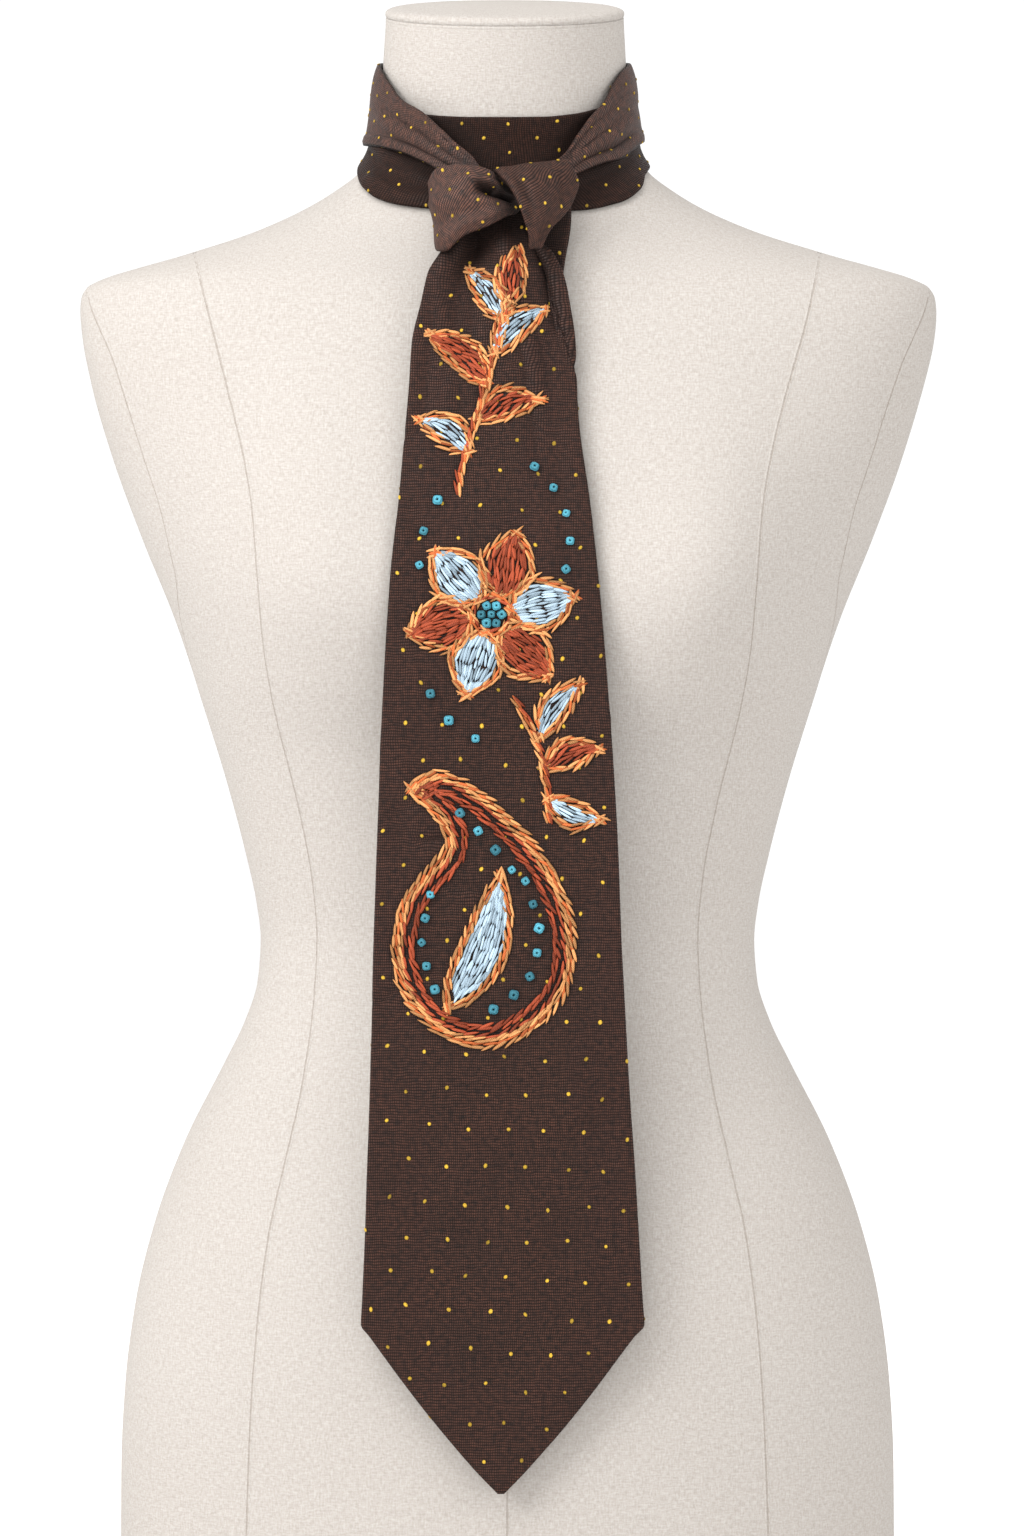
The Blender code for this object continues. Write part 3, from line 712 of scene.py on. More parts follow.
def form_normal(turn, height):
    """The ways that the form's cover faces."""
    small = 0.5  # a degree's or a millimetre's step to each side
    along = form_surface(turn + small, height) - form_surface(turn - small, height)
    up = form_surface(turn, height + small) - form_surface(turn, height - small)
    normal = np.cross(along, up)
    return normal / np.linalg.norm(normal, axis=-1, keepdims=True)


def on_form(turn, height, gap):
    """Points this far out from the form's cover."""
    turn, height = np.broadcast_arrays(turn, height)
    return form_surface(turn, height) + form_normal(turn, height) * np.expand_dims(gap, -1)


def form_ring(level, turns):
    """The form's section at a level, which tilts towards the front as it nears the neck's seam."""
    share = max(0.0, level - NECK_TILT_FROM) / (NECK_SEAM - NECK_TILT_FROM)
    slope = math.tan(math.radians(NECK_TILT)) * share
    height = np.full(len(turns), float(level))
    for _ in range(TILT_PASSES):
        points = form_surface(turns, height)
        height = level + slope * (points[:, 1] - NECK_MIDDLE)
    return form_surface(turns, height)


def levels_from(rows, spacing, top):
    """Heights at every row of a table, with more between rows far apart."""
    heights = [row.height for row in rows if row.height < top] + [top]
    levels = []
    for low, high in zip(heights, heights[1:]):
        step = [row.step for row in spacing if row.height <= low][-1]
        levels += list(np.linspace(low, high, math.ceil((high - low) / step), endpoint=False))
    return np.array(levels + [top])


def relief(a, b, creases, scale=(1.0, 1.0)):
    """How far creases lift a cloth, at places on it. Scale turns both numbers to millimetres."""
    total = np.zeros(np.broadcast(a, b).shape)
    for row in creases:
        start = np.array((row.a1 * scale[0], row.b1 * scale[1]))
        run = np.array((row.a2 * scale[0], row.b2 * scale[1])) - start
        length = math.hypot(*run)
        run = run / length
        x, y = a * scale[0] - start[0], b * scale[1] - start[1]
        along = x * run[0] + y * run[1]
        off = y * run[0] - x * run[1]
        width = np.where(off > 0, row.near, row.far)
        place = np.clip(along / length, 0, 1)
        beyond = (along - place * length) / (CREASE_FADE * length)
        swell = np.sin(np.pi * (CREASE_FADE + (1 - 2 * CREASE_FADE) * place))
        full = CREASE_LEAST + (1 - CREASE_LEAST) * swell
        total = total + row.rise * full * np.exp(-((off / width) ** 2) - beyond**2)
    return total


def waves(x, z):
    """How far the blade's long waves lift it."""
    turn = 2 * np.pi
    return sum(w.rise * np.sin(turn * (x / w.across + z / w.along) + w.start) for w in WAVES)


def band_places(width, cloth, inside):
    """Places across a band, as shares of its width, and how thick it is at each.

    Its edges are half round.
    """
    radius = cloth / 2
    bend = np.linspace(0, np.pi / 2, BAND_EDGE_STEPS, endpoint=False)
    edge, thin = radius * (1 - np.cos(bend)), cloth * np.sin(bend)
    middle = np.linspace(radius, width - radius, inside)
    places = np.concatenate((edge, middle, (width - edge)[::-1])) / width
    return places, np.concatenate((thin, np.full(inside, cloth), thin[::-1]))


def normals(grid, closed=False):
    """Unit normals of a grid of points, one for each point, turned away from the form."""
    padded = np.concatenate((grid[-2:], grid, grid[:2])) if closed else grid
    along, over = np.gradient(padded, axis=0), np.gradient(padded, axis=1)
    normal = np.cross(along, over)
    normal = normal[2:-2] if closed else normal
    normal /= np.linalg.norm(normal, axis=-1, keepdims=True)
    i, k = len(grid) // 2, grid.shape[1] // 2
    away = np.array((grid[i, k, 0], grid[i, k, 1], 0.0))
    return normal if normal[i, k] @ away > 0 else -normal


def wall_rings(grid, thickness, outside, closed=False):
    """Closed sections of a wall of cloth, from the grid of its outside or of its inside."""
    normal = normals(grid, closed)
    half = thickness.max() / 2
    middle = grid + normal * (-half if outside else half)
    offset = normal * thickness[None, :, None] / 2
    return np.concatenate((middle + offset, (middle - offset)[:, -2:0:-1]), axis=1)


def lengths(points):
    """How far along a line of points each point is."""
    steps = np.linalg.norm(np.diff(points, axis=0), axis=-1)
    return np.concatenate((np.zeros_like(steps[:1]), np.cumsum(steps, axis=0)))


def face_outwards(mesh):
    """Turns a closed mesh's faces outwards, and smooths them."""
    bm = bmesh.new()
    bm.from_mesh(mesh)
    bmesh.ops.recalc_face_normals(bm, faces=bm.faces)
    bm.to_mesh(mesh)
    bm.free()
    mesh.shade_smooth()


def new_piece(name, points, faces, flat, material):
    """A mesh piece from points in millimetres. Flat is each corner's place on the flat cloth."""
    mesh = bpy.data.meshes.new(name)
    mesh.from_pydata((np.asarray(points) * MM).tolist(), [], [list(f) for f in faces])
    layer = mesh.uv_layers.new(name="Cloth")
    layer.data.foreach_set("uv", (np.asarray(flat, np.float32) * MM).ravel())
    face_outwards(mesh)
    mesh.materials.append(material)
    piece = bpy.data.objects.new(name, mesh)
    bpy.context.scene.collection.objects.link(piece)
    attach(piece, BODY)
    return piece


def ring_faces(rows, over, along, closed=False):
    """The faces between rings of points, and each corner's place on the flat cloth.

    Over is a row for each ring, and its last place is its first once more. Along has a place for
    each ring, and one more where the last ring is joined to the first.
    """
    count = over.shape[1] - 1
    i, k = np.meshgrid(np.arange(rows if closed else rows - 1), np.arange(count), indexing="ij")
    i2, k2 = (i + 1) % rows, (k + 1) % count
    corners = (i * count + k, i * count + k2, i2 * count + k2, i2 * count + k)
    faces = np.stack(corners, axis=-1).reshape(-1, 4).tolist()
    corners = ((i, k, i), (i, k + 1, i), (i2, k + 1, i + 1), (i2, k, i + 1))
    flat = np.stack([np.stack((over[a, b], along[c]), axis=-1) for a, b, c in corners], axis=2)
    return faces, flat.reshape(-1, 2).tolist()


def pole_fans(rows, count):
    """Triangles that close the first ring and the last, each to a pole of its own."""
    poles = ((0, rows * count), (rows - 1, rows * count + 1))
    return [
        (row * count + k, row * count + (k + 1) % count, pole)
        for row, pole in poles
        for k in range(count)
    ]


def with_poles(rings):
    """The rings' points, and the middle of the first ring and of the last."""
    return [*rings.reshape(-1, 3), rings[0].mean(axis=0), rings[-1].mean(axis=0)]


def tube_faces(rows, over, along, closed=False):
    """The faces of a flat tube, with its open ends sewn shut face to face."""
    faces, flat = ring_faces(rows, over, along, closed)
    if closed:
        return faces, flat
    count = over.shape[1] - 1
    for row, shift in ((0, -1.0), (rows - 1, 1.0)):
        for k in range(count // 2):
            ring = [k, k + 1, count - k - 1, (count - k) % count]
            depth = [0, 0, shift, shift]
            kept = [n for n in range(4) if ring[n] not in ring[:n]]
            faces.append([row * count + ring[n] for n in kept])
            ends = over[row, [k, k + 1, k + 1, k]]
            flat += [(ends[n], along[row] + depth[n]) for n in kept]
    return faces, flat


def lined(piece):
    """Makes a piece's faces the woven face of its cloth, which is a wall of its own."""
    wall = piece.modifiers.new("Woven face", "SOLIDIFY")
    wall.thickness, wall.offset = FACE_CLOTH * MM, -1
    return piece


def cloth_tube(name, grid, thickness, outside, material, closed=False):
    """A stretch of the tie: a flat tube of thin woven cloth, from the grid of one of its faces."""
    rings = wall_rings(grid, thickness, outside, closed)
    steps = np.linalg.norm(np.diff(grid, axis=1), axis=-1)
    front = np.concatenate((np.zeros((len(grid), 1)), np.cumsum(steps, axis=1)), axis=1)
    front -= front[:, grid.shape[1] // 2 :][:, :1]
    over = np.concatenate((front, 2 * front[:, -1:] - front[:, -2::-1]), axis=1)
    middle = grid[:, grid.shape[1] // 2]
    if closed:
        middle = np.concatenate((middle, middle[:1]))
    along = lengths(middle)
    faces, flat = tube_faces(len(rings), over, along, closed)
    return lined(new_piece(name, rings.reshape(-1, 3), faces, flat, material)), along[-1]


def add(tree, kind, values=(), **settings):
    """Adds a node. Values fill or link its inputs, by name or number, and settings its options."""
    node = tree.nodes.new(kind)
    for option, value in settings.items():
        setattr(node, option, value)
    for key, value in dict(values).items():
        if isinstance(key, str):
            socket = next(s for s in node.inputs if s.name == key and s.enabled)
        else:
            socket = node.inputs[key]
        if isinstance(value, bpy.types.Node):
            value = next(s for s in value.outputs if s.enabled)
        if isinstance(value, bpy.types.NodeSocket):
            tree.links.new(value, socket)
        else:
            socket.default_value = value
    return node


def new_material(name):
    """A material with its tree emptied but for the shader, and the shader."""
    material = bpy.data.materials.new(name)
    material.use_nodes = True
    tree = material.node_tree
    return material, tree, tree.nodes["Principled BSDF"]


def weave_height(tree, flat, rib, thread, weave):
    """The weave's height, 0 to 1: ribs, parted into beads where threads cross over them."""
    laid = flat
    # Threads wander a little off their line, and more where the cloth is pulled askew.
    for scale, reach in ((0.16 / thread, 1.2 * thread), (42.0, weave.sway)):
        stray = add(tree, "ShaderNodeTexNoise", {"Vector": flat, "Scale": scale, "Detail": 1.0})
        centred = add(
            tree,
            "ShaderNodeVectorMath",
            {0: stray.outputs["Color"], 1: (0.5, 0.5, 0.5)},
            operation="SUBTRACT",
        )
        shift = add(tree, "ShaderNodeVectorMath", {0: centred, "Scale": reach}, operation="SCALE")
        laid = add(tree, "ShaderNodeVectorMath", {0: laid, 1: shift}, operation="ADD")
    parts = add(tree, "ShaderNodeSeparateXYZ", {0: laid})
    heights = []
    for axis, distance, roundness in (("Y", rib, 0.85), ("X", thread, 0.75)):
        place = parts.outputs[axis]
        turn = add(tree, "ShaderNodeMath", {0: place, 1: math.pi / distance}, operation="MULTIPLY")
        wave = add(tree, "ShaderNodeMath", {0: turn}, operation="SINE")
        bare = add(tree, "ShaderNodeMath", {0: wave}, operation="ABSOLUTE")
        heights.append(add(tree, "ShaderNodeMath", {0: bare, 1: roundness}, operation="POWER"))
    parted = add(
        tree,
        "ShaderNodeMath",
        {0: heights[1], 1: weave.split, 2: 1 - weave.split},
        operation="MULTIPLY_ADD",
    )
    return add(tree, "ShaderNodeMath", {0: heights[0], 1: parted}, operation="MULTIPLY")


def tie_cloth(stretch):
    """Worsted repp: finely ribbed, with dark gaps between threads whose crowns have a soft shine.

    Its ribs and threads lie as far apart as they look in the photograph.
    """
    settings, weave = bpy.context.scene.tie_cloth, WEAVES[stretch]
    material, tree, shader = new_material(f"worsted_repp_{stretch}")
    flat = add(tree, "ShaderNodeUVMap", uv_map="Cloth")
    turn = (0, 0, math.radians(weave.turned))
    turned = add(tree, "ShaderNodeMapping", {"Vector": flat, "Rotation": turn})
    rib, thread = settings.rib * weave.close, settings.thread * weave.close
    height = weave_height(tree, turned, rib, thread, weave)
    # Threads differ a little, and the cloth has darker and lighter parts a few cm wide.
    slub = add(tree, "ShaderNodeTexNoise", {"Vector": turned, "Scale": 420.0, "Detail": 2.0})
    cloud = add(tree, "ShaderNodeTexNoise", {"Vector": flat, "Scale": 38.0, "Detail": 3.0})
    uneven = add(tree, "ShaderNodeMath", {0: slub, 1: 2.6, 2: -0.55}, operation="MULTIPLY_ADD")
    crown = add(tree, "ShaderNodeMath", {0: height, 1: 1.7}, operation="POWER")
    tone = add(tree, "ShaderNodeMath", {0: crown, 1: uneven}, operation="MULTIPLY")
    shade = add(tree, "ShaderNodeMath", {0: cloud, 1: 0.8, 2: 0.6}, operation="MULTIPLY_ADD")
    toned = add(tree, "ShaderNodeMath", {0: tone, 1: shade}, operation="MULTIPLY")
    # Painted shade: its colour darkens where cloth lies close to cloth, in creases and under folds.
    reach = settings.crease_reach
    open_to = add(tree, "ShaderNodeAmbientOcclusion", {"Distance": reach}, samples=8)
    light = open_to.outputs["AO"]
    painted_shade_factor = add(tree, "ShaderNodeMath", {0: light, 1: settings.crease_dark}, operation="POWER")
    toned = add(tree, "ShaderNodeMath", {0: toned, 1: painted_shade_factor}, operation="MULTIPLY")
    # Painted light and shade: each stretch's colour is made lighter or darker by its shine.
    face = [c * weave.shine for c in settings.face]
    threads = add(
        tree,
        "ShaderNodeMix",
        {"Factor": toned, "A": (*settings.ground, 1), "B": (*face, 1)},
        data_type="RGBA",
    )
    tree.links.new(threads.outputs[2], shader.inputs["Base Color"])
    rough = add(tree, "ShaderNodeMapRange", {"Value": height, "To Min": 1.0, "To Max": 0.34})
    tree.links.new(rough.outputs[0], shader.inputs["Roughness"])
    depth = 0.0004 * weave.close
    bump = add(tree, "ShaderNodeBump", {"Height": height, "Strength": 0.7, "Distance": depth})
    tree.links.new(bump.outputs[0], shader.inputs["Normal"])
    shader.inputs["Specular IOR Level"].default_value = settings.gloss * weave.shine
    return material


def form_cloth(name, sewn=False):
    """Undyed linen-cotton, stretched tight and matt, with threads of uneven thickness both ways.

    They are drawn coarser than real, because at their true 0.5 mm they would not show.
    """
    settings = bpy.context.scene.dress_form
    material, tree, shader = new_material(name)
    flat = add(tree, "ShaderNodeUVMap", uv_map="Cloth")
    ways = []
    for across, along in ((1.0, 0.28), (0.28, 1.0)):
        drawn = (across / settings.thread, along / settings.thread, 1.0)
        long = add(tree, "ShaderNodeMapping", {"Vector": flat, "Scale": drawn})
        grain = {"Vector": long, "Scale": 1.0, "Detail": 2.0, "Roughness": 0.6}
        ways.append(add(tree, "ShaderNodeTexNoise", grain))
    both = add(tree, "ShaderNodeMath", {0: ways[0], 1: ways[1]}, operation="ADD")
    height = add(tree, "ShaderNodeMapRange", {"Value": both, "From Min": 0.72, "From Max": 1.28})
    grain = {"Vector": flat, "Scale": 260.0, "Detail": 3.0, "Roughness": 0.6}
    slub = add(tree, "ShaderNodeTexNoise", grain)
    cloud = add(tree, "ShaderNodeTexNoise", {"Vector": flat, "Scale": 14.0, "Detail": 2.0})
    uneven = add(tree, "ShaderNodeMath", {0: slub, 1: 0.3, 2: height}, operation="MULTIPLY_ADD")
    shade = add(tree, "ShaderNodeMath", {0: cloud, 1: 0.2, 2: uneven}, operation="MULTIPLY_ADD")
    toned = add(tree, "ShaderNodeMapRange", {"Value": shade, "From Min": 0.1, "From Max": 1.4})
    if sewn:
        # A dark line down the middle of the seam: partly its sunk stitches' own thread, partly painted
        # shade of the groove.
        parts = add(tree, "ShaderNodeSeparateXYZ", {0: flat})
        side = add(tree, "ShaderNodeMath", {0: parts.outputs["X"]}, operation="ABSOLUTE")
        stitches_and_painted_groove_shade = {"Value": side, "From Max": 0.6 * MM, "To Min": -1.2, "To Max": 0.0}
        line = add(tree, "ShaderNodeMapRange", stitches_and_painted_groove_shade)
        toned = add(tree, "ShaderNodeMath", {0: toned, 1: line}, operation="ADD")
    threads = add(
        tree,
        "ShaderNodeMix",
        {"Factor": toned, "A": (*settings.cover_dark, 1), "B": (*settings.cover, 1)},
        data_type="RGBA",
        clamp_factor=False,
    )
    tree.links.new(threads.outputs[2], shader.inputs["Base Color"])
    rough = add(tree, "ShaderNodeMapRange", {"Value": slub, "To Min": 0.95, "To Max": 0.8})
    tree.links.new(rough.outputs[0], shader.inputs["Roughness"])
    bump = add(tree, "ShaderNodeBump", {"Height": uneven, "Strength": 0.5, "Distance": 0.00022})
    tree.links.new(bump.outputs[0], shader.inputs["Normal"])
    shader.inputs["Specular IOR Level"].default_value = 0.2
    return material


def thread_material(name, main, gloss, painted_light_axis="Y"):
    """Stranded cotton: soft sheen, strands that wind along it, and painted shade on its sides.

    The crown is the side that faces away from the cloth, and it is painted lighter.
    """
    material, tree, shader = new_material(name)
    flat = add(tree, "ShaderNodeUVMap", uv_map="Cloth")
    parts = add(tree, "ShaderNodeSeparateXYZ", {0: flat})
    along, around = parts.outputs["X"], parts.outputs["Y"]
    twist = add(tree, "ShaderNodeMath", {0: along, 1: 1.6, 2: around}, operation="MULTIPLY_ADD")
    turn = 2 * math.pi
    strands = add(tree, "ShaderNodeMath", {0: twist, 1: turn * STRANDS}, operation="MULTIPLY")
    wave = add(tree, "ShaderNodeMath", {0: strands}, operation="SINE")
    drawn = {"Value": wave, "From Min": -1.0, "To Min": 0.0, "To Max": 0.35}
    lines = add(tree, "ShaderNodeMapRange", drawn)
    tone = add(tree, "ShaderNodeAttribute", attribute_name="tone").outputs["Fac"]
    mixed = add(tree, "ShaderNodeMath", {0: tone, 1: 0.65, 2: lines}, operation="MULTIPLY_ADD")
    # Painted light and shade: the crown is painted lit, and the sides and underside are painted dark, as
    # light would fall on a round thread.
    if painted_light_axis == "Y":
        angle = add(tree, "ShaderNodeMath", {0: around, 1: turn}, operation="MULTIPLY")
        facing = add(tree, "ShaderNodeMath", {0: angle}, operation="SINE")
        top = {"Value": facing, "From Min": -0.45, "From Max": 0.75, "To Min": 0.0}
    else:
        top = {"Value": along, "From Min": 0.2, "From Max": 0.75, "To Min": 0.1}
    crown = add(tree, "ShaderNodeMapRange", top)
    painted_crown_light = add(tree, "ShaderNodeMath", {0: mixed, 1: crown}, operation="MULTIPLY")
    # A dark copy of the thread's colour for the painted shade, and a light copy for the painted
    # highlight.
    dark = tuple(c * 0.22 for c in main)
    light = tuple(min(1.0, c * 1.25 + 0.02) for c in main)
    threads = add(
        tree,
        "ShaderNodeMix",
        {"Factor": painted_crown_light, "A": (*dark, 1), "B": (*light, 1)},
        data_type="RGBA",
    )
    tree.links.new(threads.outputs[2], shader.inputs["Base Color"])
    place = add(tree, "ShaderNodeTexCoord")
    grain = {"Vector": place.outputs["Object"], "Scale": 900.0, "Detail": 2.0}
    fuzz = add(tree, "ShaderNodeTexNoise", grain)
    sheen = {"Value": fuzz, "To Min": gloss + 0.15, "To Max": gloss - 0.05}
    rough = add(tree, "ShaderNodeMapRange", sheen)
    tree.links.new(rough.outputs[0], shader.inputs["Roughness"])
    rise = add(tree, "ShaderNodeMath", {0: wave, 1: 0.5, 2: fuzz}, operation="MULTIPLY_ADD")
    bump = add(tree, "ShaderNodeBump", {"Height": rise, "Strength": 0.6, "Distance": 0.0002})
    tree.links.new(bump.outputs[0], shader.inputs["Normal"])
    shader.inputs["Specular IOR Level"].default_value = 0.2
    return material


def floor_paint(name):
    """Matt white paint on board: even, with a slight mottle."""
    material, tree, shader = new_material(name)
    place = add(tree, "ShaderNodeTexCoord")
    mottle = add(tree, "ShaderNodeTexNoise", {"Vector": place.outputs["Object"], "Scale": 3.0})
    white = bpy.context.scene.stage_set.floor
    paint = add(
        tree,
        "ShaderNodeMix",
        {"Factor": mottle, "A": (*white, 1), "B": (*(0.985 * c for c in white), 1)},
        data_type="RGBA",
    )
    tree.links.new(paint.outputs[2], shader.inputs["Base Color"])
    shader.inputs["Roughness"].default_value = 0.9
    return material


def new_tree(name, sizes, counts=()):
    """A geometry tree with these named inputs, after its geometry, and those that all have."""
    inputs = [(label, "Float") for label in sizes]
    inputs += [(label, "Int") for label in (*counts, "Seed")]
    inputs += [("Shape", "Object"), ("Material", "Material")]
    tree = bpy.data.node_groups.new(name, "GeometryNodeTree")
    face = tree.interface
    face.new_socket("Geometry", in_out="INPUT", socket_type="NodeSocketGeometry")
    for label, kind in inputs:
        face.new_socket(label, in_out="INPUT", socket_type=f"NodeSocket{kind}")
    face.new_socket("Geometry", in_out="OUTPUT", socket_type="NodeSocketGeometry")
    return tree, tree.nodes.new("NodeGroupInput").outputs


def chance(tree, given, number, low, high, kind="FLOAT"):
    """A random value between two limits for each point, from the tree's seed and a number."""
    mixed = {0: given["Seed"], 1: number}
    seed = add(tree, "FunctionNodeIntegerMath", mixed, operation="ADD")
    first = 0 if kind == "FLOAT_VECTOR" else 2
    limits = {first: low, first + 1: high, "Seed": seed}
    return add(tree, "FunctionNodeRandomValue", limits, data_type=kind)


def upward(tree):
    """The way that points away from the cloth, kept on each point."""
    return add(tree, "GeometryNodeInputNamedAttribute", {"Name": "lift"}, data_type="FLOAT_VECTOR")


def spun(tree, rotation, angle):
    """A rotation, and then a turn about its own Z."""
    turn = add(tree, "ShaderNodeCombineXYZ", {"Z": angle})
    turned = add(tree, "FunctionNodeEulerToRotation", {"Euler": turn})
    both = {"Rotation": rotation, "Rotate By": turned}
    return add(tree, "FunctionNodeRotateRotation", both, rotation_space="LOCAL")


def repeat_shape(tree, given, points, rotation, scale, tone):
    """Ends a tree: its shape stands on each point, and all become one plain mesh."""
    shape = add(tree, "GeometryNodeObjectInfo", {"Object": given["Shape"]}).outputs["Geometry"]
    stood = {"Points": points, "Instance": shape, "Rotation": rotation, "Scale": scale}
    laid = add(tree, "GeometryNodeInstanceOnPoints", stood)
    toned = add(
        tree,
        "GeometryNodeStoreNamedAttribute",
        {"Geometry": laid, "Name": "tone", "Value": tone},
        data_type="FLOAT",
        domain="INSTANCE",
    )
    whole = add(tree, "GeometryNodeRealizeInstances", {"Geometry": toned})
    with_thread = {"Geometry": whole, "Material": given["Material"]}
    add(tree, "NodeGroupOutput", {"Geometry": add(tree, "GeometryNodeSetMaterial", with_thread)})
    return tree


def lay_out(name, source, tree, values):
    """Runs a tree on a source object, and makes a plain piece of thread of what comes out."""
    modifier = source.modifiers.new("Lay", "NODES")
    modifier.node_group = tree
    for item in tree.interface.items_tree:
        if item.in_out == "INPUT" and item.name in values:
            modifier[item.identifier] = values[item.name]
    source.update_tag()
    bpy.context.view_layer.update()
    evaluated = source.evaluated_get(bpy.context.evaluated_depsgraph_get())
    mesh = bpy.data.meshes.new_from_object(evaluated)
    mesh.name = name
    source.modifiers.remove(modifier)
    piece = bpy.data.objects.new(name, mesh)
    bpy.context.scene.collection.objects.link(piece)
    mesh.shade_smooth()
    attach(piece, BODY)


def hidden_source(name, points, faces=(), edges=(), flat=()):
    """An object that a tree reads and that isn't kept."""
    mesh = bpy.data.meshes.new(name)
    mesh.from_pydata(np.asarray(points).tolist(), list(edges), list(faces))
    if faces:
        layer = mesh.uv_layers.new(name="Cloth")
        layer.data.foreach_set("uv", np.asarray(flat, np.float32).ravel())
        face_outwards(mesh)
    source = bpy.data.objects.new(name, mesh)
    bpy.context.scene.collection.objects.link(source)
    return source


def round_shape(name, rings):
    """A closed shape through rings of points, with a pole at each end, for a tree to repeat."""
    rings = np.asarray(rings, float)
    rows, count = rings.shape[:2]
    around = np.broadcast_to(np.arange(count + 1) / count, (rows, count + 1))
    faces, flat = ring_faces(rows, around, np.arange(rows) / (rows - 1))
    flat = [place[::-1] for place in flat]  # along the thread first, then round it
    faces += pole_fans(rows, count)
    flat += [(end, k / count) for end in (0.0, 1.0) for k in range(count) for _ in range(3)]
    return hidden_source(name, with_poles(rings), faces, flat=flat)


def stitch_shape():
    """One stitch: two strands wound on each other, which rise from the cloth and dive back in."""
    sections, sides = 6, 8
    turn = np.arange(sides) * 2 * np.pi / sides
    rings = []
    for place in np.linspace(-1, 1, sections):
        # Its two lobes wind as they run along it, and it thins and sinks towards its ends.
        lobes = 0.86 + 0.16 * np.cos(2 * (turn - 0.9 * place))
        wide = 0.5 * (1 - 0.62 * abs(place) ** 3.5) * lobes
        thick = 0.5 * (1 - 0.5 * abs(place) ** 3) * lobes
        lift = 0.40 - 0.62 * place**4
        ring = (np.full(sides, place / 2), wide * np.cos(turn), lift + thick * np.sin(turn))
        rings.append(np.stack(ring, axis=-1))
    return round_shape("stitch", rings)


def knot_shape():
    """One French knot: two coils of thread wound on each other, with a small hollow on top."""
    around, sides = 14, 7
    points, faces, flat = [], [], []
    for level, coil in enumerate(KNOT_COILS):
        first = len(points)
        for a in np.arange(around) * 2 * np.pi / around:
            lumpy = coil.reach * (1 + 0.13 * math.cos(4 * a + level) + 0.08 * math.cos(a))
            for t in np.arange(sides) * 2 * np.pi / sides:
                r = lumpy + coil.thread * math.cos(t)
                rise = coil.lift + coil.tip * math.cos(a - 1) + coil.thread * math.sin(t)
                points.append((r * math.cos(a), r * math.sin(a), rise))
        for i in range(around):
            for k in range(sides):
                corners = ((i, k), (i + 1, k), (i + 1, k + 1), (i, k + 1))
                faces.append([first + a % around * sides + b % sides for a, b in corners])
                flat += [(a / 4, b / sides) for a, b in corners]
    return hidden_source("french_knot", points, faces, flat=flat)


def dot_shape():
    """One pin dot: a low mound of thread."""
    sides = 9
    turn = np.arange(sides) * 2 * np.pi / sides
    rings = []
    for row in DOT_MOUND:
        ring = (row.radius * np.cos(turn), row.radius * np.sin(turn), np.full(sides, row.height))
        rings.append(np.stack(ring, axis=-1))
    return round_shape("dot", rings)


def stitches_tree():
    """Stitches along each line of the source mesh, end over end and a little uneven."""
    sizes = ("Pitch", "Length", "Width", "Height", "Wander", "Slant", "Skew")
    tree, given = new_tree("Stitches on lines", sizes)
    line = add(tree, "GeometryNodeMeshToCurve", {"Mesh": given["Geometry"]})
    spacing = {"Curve": line, "Length": given["Pitch"]}
    spaced = add(tree, "GeometryNodeResampleCurve", spacing, mode="LENGTH")
    ahead, lift = add(tree, "GeometryNodeInputTangent"), upward(tree)
    side = add(tree, "ShaderNodeVectorMath", {0: lift, 1: ahead}, operation="CROSS_PRODUCT")
    wander, slant, skew = given["Wander"], given["Slant"], given["Skew"]
    less = add(tree, "ShaderNodeMath", {0: wander, 1: -1.0}, operation="MULTIPLY")
    drift = {0: side, "Scale": chance(tree, given, 1, less, wander)}
    sideways = add(tree, "ShaderNodeVectorMath", drift, operation="SCALE")
    rise = {0: lift, "Scale": chance(tree, given, 2, 0.0, 0.35 * MM)}
    raised = add(tree, "ShaderNodeVectorMath", rise, operation="SCALE")
    offset = add(tree, "ShaderNodeVectorMath", {0: sideways, 1: raised}, operation="ADD")
    placed = add(tree, "GeometryNodeSetPosition", {"Geometry": spaced, "Offset": offset})
    axes = add(
        tree,
        "FunctionNodeAxesToRotation",
        {"Primary Axis": lift, "Secondary Axis": ahead},
        primary_axis="Z",
        secondary_axis="X",
    )
    least = add(tree, "ShaderNodeMath", {0: slant, 1: skew}, operation="SUBTRACT")
    most = add(tree, "ShaderNodeMath", {0: slant, 1: skew}, operation="ADD")
    laid = spun(tree, axes, chance(tree, given, 3, least, most))
    scale = {}
    for number, (axis, label) in enumerate(zip("XYZ", ("Length", "Width", "Height")), 4):
        size = {0: given[label], 1: chance(tree, given, number, 0.8, 1.22)}
        scale[axis] = add(tree, "ShaderNodeMath", size, operation="MULTIPLY")
    scale = add(tree, "ShaderNodeCombineXYZ", scale)
    return repeat_shape(tree, given, placed, laid, scale, chance(tree, given, 7, 0.0, 1.0))


def knots_tree():
    """A knot on each point of the source mesh."""
    tree, given = new_tree("Knots on points", ("Width", "Height"))
    upright = add(tree, "FunctionNodeAlignRotationToVector", {"Vector": upward(tree)}, axis="Z")
    laid = spun(tree, upright, chance(tree, given, 0, 0.0, 2 * math.pi))
    width = given["Width"]
    size = add(tree, "ShaderNodeCombineXYZ", {"X": width, "Y": width, "Z": given["Height"]})
    uneven = {0: size, "Scale": chance(tree, given, 1, 0.86, 1.14)}
    scale = add(tree, "ShaderNodeVectorMath", uneven, operation="SCALE")
    tone = chance(tree, given, 2, 0.0, 1.0)
    return repeat_shape(tree, given, given["Geometry"], laid, scale, tone)


